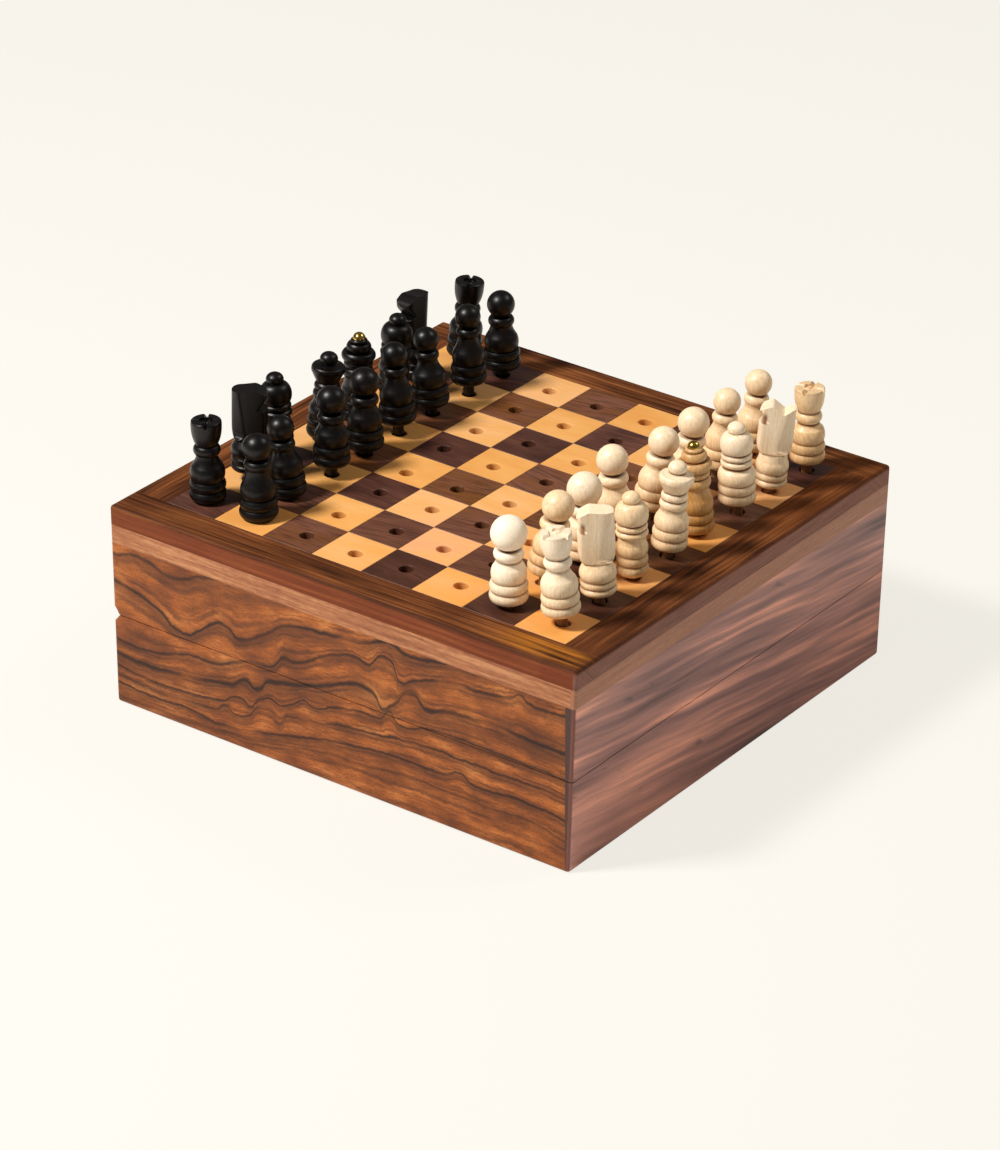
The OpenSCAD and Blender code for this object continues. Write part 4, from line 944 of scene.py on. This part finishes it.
def king(stand, taller, wider, _):
    """A king: foot, body, and five rings that step in towards the pin in its top."""
    body, foot_r, swell_r, neck, step_r = 5.9 + taller, 4.15 + wider, 4.0 + wider, 3.1, 1.62
    rings, z = [], FOOT_H + body
    for h, r, bulge in [(2.4, 3.6, COLLAR_BULGE), (1.9, 3.4, COLLAR_BULGE), (2.1, 4.0, COLLAR_BULGE),
                        (2.1, 2.9, COLLAR_BULGE), (1.0, 2.0, BULGE)]:
        rings.append(edge_ring(z, h, r, bulge))
        z += h
    return spin(np.vstack([peg(stand), foot(foot_r), swell(FOOT_H, body, swell_r, neck), *rings,
                           line((step_r, z), (0, z))]))


def finial(taller):
    """The brass pin's head: a quarter circle turned on the king's top, on a slightly smaller disc."""
    z, r, seat = KING_H + taller, 1.49, 1.4
    t = np.linspace(0, math.pi / 2, 20)
    head = np.stack([r * np.cos(t), z + r * np.sin(t)], -1)
    return spin(np.vstack([line((0, z), (seat, z)), head]), columns=64)


def soft_least(fields, soft):
    """The least of several fields, rounded where two of them meet: -s log(sum of exp(-f / s))."""
    return -soft * np.log(sum(np.exp(-f / soft) for f in fields))


def knight(stand, taller, wider, notch):
    """A knight: the turned body, and over it a head cut from a round blank.

    At each height and angle the head's radius is the least of the blank's, the two flat faces',
    the two facets' of the mane and the mouth's, and its top follows brow, notch and ears. A flat
    wall at a distance d that faces the angle f has the radius d / cos(a - f).
    """
    body_z, swell_h, swell_r, neck = 3.3, 2.7, 4.3 + wider, 3.1
    head_z = body_z + 3.9 + taller
    top_z = head_z + 12.8 - taller
    body = spin(np.vstack([peg(stand), foot(swell_r, 1.5, 1.8), edge_ring(body_z, swell_h, swell_r),
                           line((swell_r - BULGE, body_z + swell_h), (neck, head_z), (0, head_z), steps=4)]))
    a = np.linspace(0, 2 * math.pi, 144, endpoint=False)[None, :]
    z = np.unique(np.round(np.concatenate([
        np.linspace(head_z, top_z, 56), np.linspace(head_z + 0.5, head_z + 2, 10),
        np.linspace(head_z + 7.4, head_z + 9.6, 16)]), 4))[:, None]
    far, edge_on = 40.0, 0.05

    def wall(distance, facing):
        """Radius of a flat wall, and far where it is seen edge-on or from behind."""
        c = np.cos(a - facing)
        return np.where(c > edge_on, distance / np.maximum(c, edge_on), far)

    jaw_h, jaw_r, jaw_out, ledge_h, scoop_r = 2.8, 3.0, 1.1, 0.6, 1.1
    jaw = np.clip((z - head_z) / jaw_h, 0, 1)
    blank = jaw_r + jaw_out * np.sqrt(1 - (1 - jaw) ** 2) + 0 * a
    up = z - head_z - ledge_h
    scoop = scoop_r * (1 - np.sqrt(1 - np.clip(1 - up / scoop_r, 0, 1) ** 2))
    mane = np.where(up > 0, 2.4 + scoop + up * math.tan(math.radians(5)), far)
    mouth_z, mouth_x, face_y, mane_turn = head_z + 8, 1.9, 2.4, math.radians(55)
    bite = np.where(z > mouth_z, mouth_x + (z - mouth_z) * 0.8, mouth_x + (mouth_z - z) * 4)
    r = soft_least([blank, wall(face_y, math.pi / 2), wall(face_y, -math.pi / 2),
                    wall(mane, mane_turn), wall(mane, -mane_turn),
                    wall(np.minimum(bite, far), math.pi)], soft=0.2)
    inward = np.linspace(1, 0, 14)[1:, None]
    r = np.vstack([r, r[-1:] * inward])
    z = np.vstack([z + 0 * a, top_z + 0 * a + 0 * inward])
    x, y = r * np.cos(a), r * np.sin(a)
    at = np.linspace(-4.3, 4.3, 87)
    sharp = np.interp(at, [-4.6, -1.3, 1.5, 3.6, 5.1],
                      [top_z - 1.7, top_z, top_z - notch, top_z - 0.5, top_z - 1])
    worn = np.convolve(np.pad(sharp, 8, mode="edge"), np.hanning(17) / np.hanning(17).sum(), "valid") - 0.04
    worn -= 0.7 * np.clip((-at - 3.3) / 0.8, 0, 1) ** 2
    z = np.minimum(z, np.interp(x, at, np.minimum(worn, sharp)))
    # painted shade: a band under the head, the inside of the mouth's notch and a band along the mane's ledge
    under = np.clip(1 - np.abs(z - head_z) / 0.5, 0, 1) * 0.8
    opened = np.vstack([bite, bite[-1:] + 9 + 0 * inward])
    mouth = np.clip((3.9 - opened) / 0.9, 0, 1) * np.clip((-x - 2.0) / 0.5, 0, 1)
    ledge = np.clip(1 - np.abs(z - head_z - 0.7) / 0.3, 0, 1) * np.clip((x - 0.6) / 0.3, 0, 1) * 0.7
    grime = np.maximum(np.maximum(under, mouth), ledge)
    head = np.stack([x, y, z, grime, foot_shade_share(z)], -1).reshape(-1, 5)
    floor = spin(line((0, head_z), (neck, head_z)), columns=144)
    return join([body, (head, grid_faces(len(r), 144, wrap=True)), floor])


KINDS = {"rook": rook, "knight": knight, "bishop": bishop, "queen": queen, "king": king, "pawn": pawn}


def stand_up(points, file, rank, man):
    """Turns a man, lifts it to its height and leans it about the middle of its hole."""
    stand, lean, _, _, turn, _ = man
    hole = HOLES[rank][file]
    foot_up = Matrix.Translation((0, 0, BOARD_T / 2 + stand)) @ Matrix.Rotation(math.radians(turn), 4, "Z")
    tilt = (Matrix.Rotation(LEAN_TURN, 4, "Z") @ Matrix.Rotation(math.radians(lean), 4, "Y")
            @ Matrix.Rotation(-LEAN_TURN, 4, "Z"))
    there = Matrix.Translation(((file - 3.5) * PITCH + hole[0], (rank - 3.5) * PITCH + hole[1],
                                TOP - BOARD_T / 2))
    m = np.array(there @ tilt @ foot_up)
    return np.column_stack([points[:, :3] @ m[:3, :3].T + m[:3, 3], points[:, 3:]])


# ---- The squares ----

RIM_POINTS = 14  # along each side of a square
MOUTH = [(0, 0.5), (0, HOLE_WEAR), (0.04, 0.07), (0.09, 0.02), (HOLE_WEAR, 0)]  # wider by, below the top
RIM_EASE = 0.05


def drilled_square(file, rank):
    """One square: a closed band from the hole's bottom, up its wall, over the top to the rim and down.

    Each column joins a point of the hole's circle with a point of the square's outline.
    """
    half = (PITCH - GLUE) / 2
    t = np.linspace(-1, 1, RIM_POINTS, endpoint=False)
    rim = half * np.vstack([np.stack([t, -1 + 0 * t], -1), np.stack([1 + 0 * t, t], -1),
                            np.stack([-t, 1 + 0 * t], -1), np.stack([-1 + 0 * t, -t], -1)])
    hole = np.array(HOLES[rank][file])
    toward = (rim - hole) / np.linalg.norm(rim - hole, axis=1, keepdims=True)
    mouth = hole + toward * (HOLE_R + HOLE_WEAR)
    loops = [(hole + toward * HOLE_R, 0)]
    loops += [(hole + toward * (HOLE_R + wider), BOARD_T - down) for wider, down in MOUTH]
    loops += [(mouth + (rim - mouth) * share, BOARD_T) for share in (0.1, 0.5, 0.97)]
    loops += [(rim * (1 - RIM_EASE / half), BOARD_T), (rim, BOARD_T - RIM_EASE), (rim, 0), loops[0]]
    points = np.vstack([np.column_stack([flat, np.full(len(rim), z)]) for flat, z in loops])
    points += [(file - 3.5) * PITCH, (rank - 3.5) * PITCH, BOARD_Z]
    return points, grid_faces(len(loops), len(rim), wrap=True)


# ---- The box ----

for part, z0, z1, ends, slot in [("base", 0.0, BASE_H, ["-z"], "base_wood"),
                                 ("lid", LID_Z, WALLS_TOP, [], "lid_wood")]:
    for side, surface in [("front", long_wall(z0, z1, True, ends)), ("back", long_wall(z0, z1, False, ends)),
                          ("opening", opening_wall(z0, z1, ends))]:
        name = part + "_" + side
        make_piece(name + "_plank", *surface, WOODS[side], part, slot, [name + "_wall"])

points, faces = block((-HALF, -HALF, WALLS_TOP), (HALF, HALF, BOARD_Z), ["-x", "+x", "-y", "+y"])
make_piece("backing_plank", lean_in(points, -FIELD), faces, WOODS["pale"], "lid", "backing_wood",
           ["backing_board"])
for name, low, high, sides, wood in [
        ("border_front", (-HALF, -HALF), (HALF, -FIELD), ["-x", "+x", "-y"], "border_x"),
        ("border_back", (-HALF, FIELD), (HALF, HALF), ["-x", "+x", "+y"], "border_x"),
        ("border_left", (-HALF, -FIELD), (-FIELD, FIELD), ["-x"], "border_y"),
        ("border_right", (FIELD, -FIELD), (HALF, FIELD), ["+x"], "border_y")]:
    points, faces = block((*low, BOARD_Z), (*high, TOP), [*sides, "+z"])
    make_piece(name + "_strip", lean_in(points, -FIELD), faces, WOODS[wood], "lid", "border_wood", [name])
for name, parity in [("light", 1), ("dark", 0)]:
    cells = [drilled_square(i, j) for i in range(8) for j in range(8) if (i + j) % 2 == parity]
    make_piece(name + "_square_inlay", *join(cells), WOODS[name], "lid", name + "_square_wood",
               [name + "_squares"])

felt_low = (FELT_LEFT, -HALF + WALL + FELT_MARGIN, PANEL_T)
felt_high = (HALF - WALL - FELT_MARGIN, HALF - WALL - FELT_MARGIN, PANEL_T + FELT_T)
points, faces = block(felt_low, felt_high, ["-x", "+x", "-y", "+y", "+z"], ease=FELT_EASE,
                      extra=(np.linspace(-55, 56, 60), np.linspace(-56, 56, 60), ()))
on_top = points[:, 2] > PANEL_T + FELT_T - 0.01
points[:, 2] -= on_top * (0.08 + 0.08 * np.sin(points[:, 0] * 0.35) * np.cos(points[:, 1] * 0.29))
felt_sheet = make_piece("felt_sheet", points, faces, FELT, "base", "felt", ["felt_lining"])


def dress(material, *nodes):
    """Gives CAD nodes that stay their own material."""
    for node in nodes:
        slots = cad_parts[node].data.materials
        slots.clear()
        slots.append(material)


dress(WOODS["hinge"], "base_hinge_wall", "lid_hinge_wall")
dress(PLYWOOD, "bottom_panel")
dress(BRASS, "base_hinge_leaves", "lid_hinge_leaves", "hinge_pins", "base_hinge_screws", "lid_hinge_screws")

# ---- The men ----

# How pale each man's wood is, in the order of BACK_RANK and PAWNS
PALENESS = {"white": ([0.75, 0.64, 0.42, 0.62, 0.0, 0.66, 0.66, 0.34],
                      [0.9, 0.42, 0.7, 0.62, 0.6, 0.58, 0.5, 0.5]),
            "black": ([0.3, 0.5, 0.6, 0.4, 0.3, 0.5, 0.4, 0.3], [0.6, 0.4, 0.5, 0.7, 0.4, 0.6, 0.3, 0.5])}
for side, wood, slot in [("white", "boxwood", "boxwood"), ("black", "ebony", "ebonised_wood")]:
    for kinds, file, shades in zip((BACK_RANK, PAWNS), FILES[side], PALENESS[side]):
        for rank, kind in enumerate(kinds):
            name = side + "_" + kind
            man = MEN[name]
            points, faces = KINDS[kind.split("_")[0]](man[0], man[2], man[3], man[5])
            make_piece(name + "_turned", stand_up(points, file, rank, man), faces, WOODS[wood],
                       name + "_body", slot, [name], tone=shades[rank])
            if kind == "king":
                points, faces = finial(man[2])
                make_piece(name + "_pin_head", stand_up(points, file, rank, man)[:, :3], faces, BRASS,
                           name + "_body", "brass", [name + "_finial"])

# ---- Floor, light and camera: lengths in metres ----

BACKDROP = rgb(249, 246, 238)
ROOM = (1.0, 0.94, 0.86, 1.0)
ROOM_STRENGTH = 0.15
PLAIN_SHARE = 0.84  # of the floor that the camera sees; the rest is lit and shows the shadow
FLOOR_REACH = 6.0
BOX_DISTANCE = 0.9
AIM = (0.0, 0.0, 0.05)


def floor_finish():
    """Pale floor: the camera mostly sees its plain colour, with the object's soft shadow on it."""
    f = Finish("pale_floor")
    seen = f.node("ShaderNodeLightPath", {}, {})
    plain = f.node("ShaderNodeEmission", {}, {"Color": BACKDROP, "Strength": 1.0})
    lit = f.node("ShaderNodeBsdfDiffuse", {}, {"Color": BACKDROP})
    shader = f.node("ShaderNodeMixShader", {}, {0: seen * PLAIN_SHARE, 1: lit, 2: plain})
    f.node("ShaderNodeOutputMaterial", {}, {0: shader})
    return f.data


def studio():
    """The world: a dim warm room, in whose place the camera sees the plain backdrop."""
    f = Finish("studio", bpy.data.worlds)
    seen = f.node("ShaderNodeLightPath", {}, {})
    room = f.node("ShaderNodeBackground", {}, {"Color": ROOM, "Strength": ROOM_STRENGTH})
    plain = f.node("ShaderNodeBackground", {}, {"Color": BACKDROP, "Strength": 1.0})
    shader = f.node("ShaderNodeMixShader", {}, {0: seen, 1: room, 2: plain})
    f.node("ShaderNodeOutputWorld", {}, {0: shader})
    return f.data


def link(name, data):
    """A new object in the scene."""
    thing = bpy.data.objects.new(name, data)
    bpy.context.scene.collection.objects.link(thing)
    return thing


def frame_of(x_axis, y_axis, z_axis, place):
    """The matrix whose columns are three axes and a place."""
    m = np.eye(4)
    m[:3] = np.column_stack([x_axis, y_axis, z_axis, place])
    return Matrix(m.tolist())


def softbox(name, direction, size, power, colour):
    """A square area lamp that looks at the middle of the board from a direction."""
    lamp = bpy.data.lights.new(name, "AREA")
    lamp.shape, lamp.size, lamp.energy, lamp.color = "SQUARE", size, power, colour
    d = np.array(direction) / np.linalg.norm(direction)
    side = np.cross([0, 0, 1], d)
    side /= np.linalg.norm(side)
    link(name, lamp).matrix_world = frame_of(side, np.cross(d, side), d, d * BOX_DISTANCE + np.array(AIM))


floor_mesh = bpy.data.meshes.new("floor")
corners = [(-1, -1), (1, -1), (1, 1), (-1, 1)]
floor_mesh.from_pydata([(x * FLOOR_REACH, y * FLOOR_REACH, 0) for x, y in corners], [], [(0, 1, 2, 3)])
floor_mesh.materials.append(floor_finish())
floor = link("floor", floor_mesh)
bpy.context.scene.world = studio()
softbox("front_box", (-0.36, -0.54, 0.78), 0.16, 10.8, (1.0, 0.97, 0.93))
softbox("back_box", (0.43, 0.51, 0.74), 0.26, 1.8, (1.0, 0.95, 0.88))

# The camera was fitted to the box's visible corners in a photo of 1000 x 1150 pixels
AZIMUTH, ELEVATION, ROLL = math.radians(34.64), math.radians(27.41), math.radians(1.69)
DISTANCE = 1.19895
TARGET = np.array([-0.02914, 0.04126, 0.0])
FOCAL_PIXELS, PHOTO_HEIGHT, SENSOR = 5000, 1150, 36.0
back = np.array([math.sin(AZIMUTH) * math.cos(ELEVATION), -math.cos(AZIMUTH) * math.cos(ELEVATION),
                 math.sin(ELEVATION)])
right = np.cross(-back, [0, 0, 1])
right /= np.linalg.norm(right)
up = np.cross(back, right)
camera = link("camera", bpy.data.cameras.new("camera"))
camera.data.sensor_width = SENSOR
camera.data.lens = SENSOR * FOCAL_PIXELS / PHOTO_HEIGHT
camera.data.clip_start, camera.data.clip_end = 0.01, 20.0
camera.matrix_world = frame_of(right * math.cos(ROLL) + up * math.sin(ROLL),
                               up * math.cos(ROLL) - right * math.sin(ROLL), back, TARGET + back * DISTANCE)
bpy.context.scene.camera = camera
bpy.context.scene.view_settings.view_transform = "Standard"
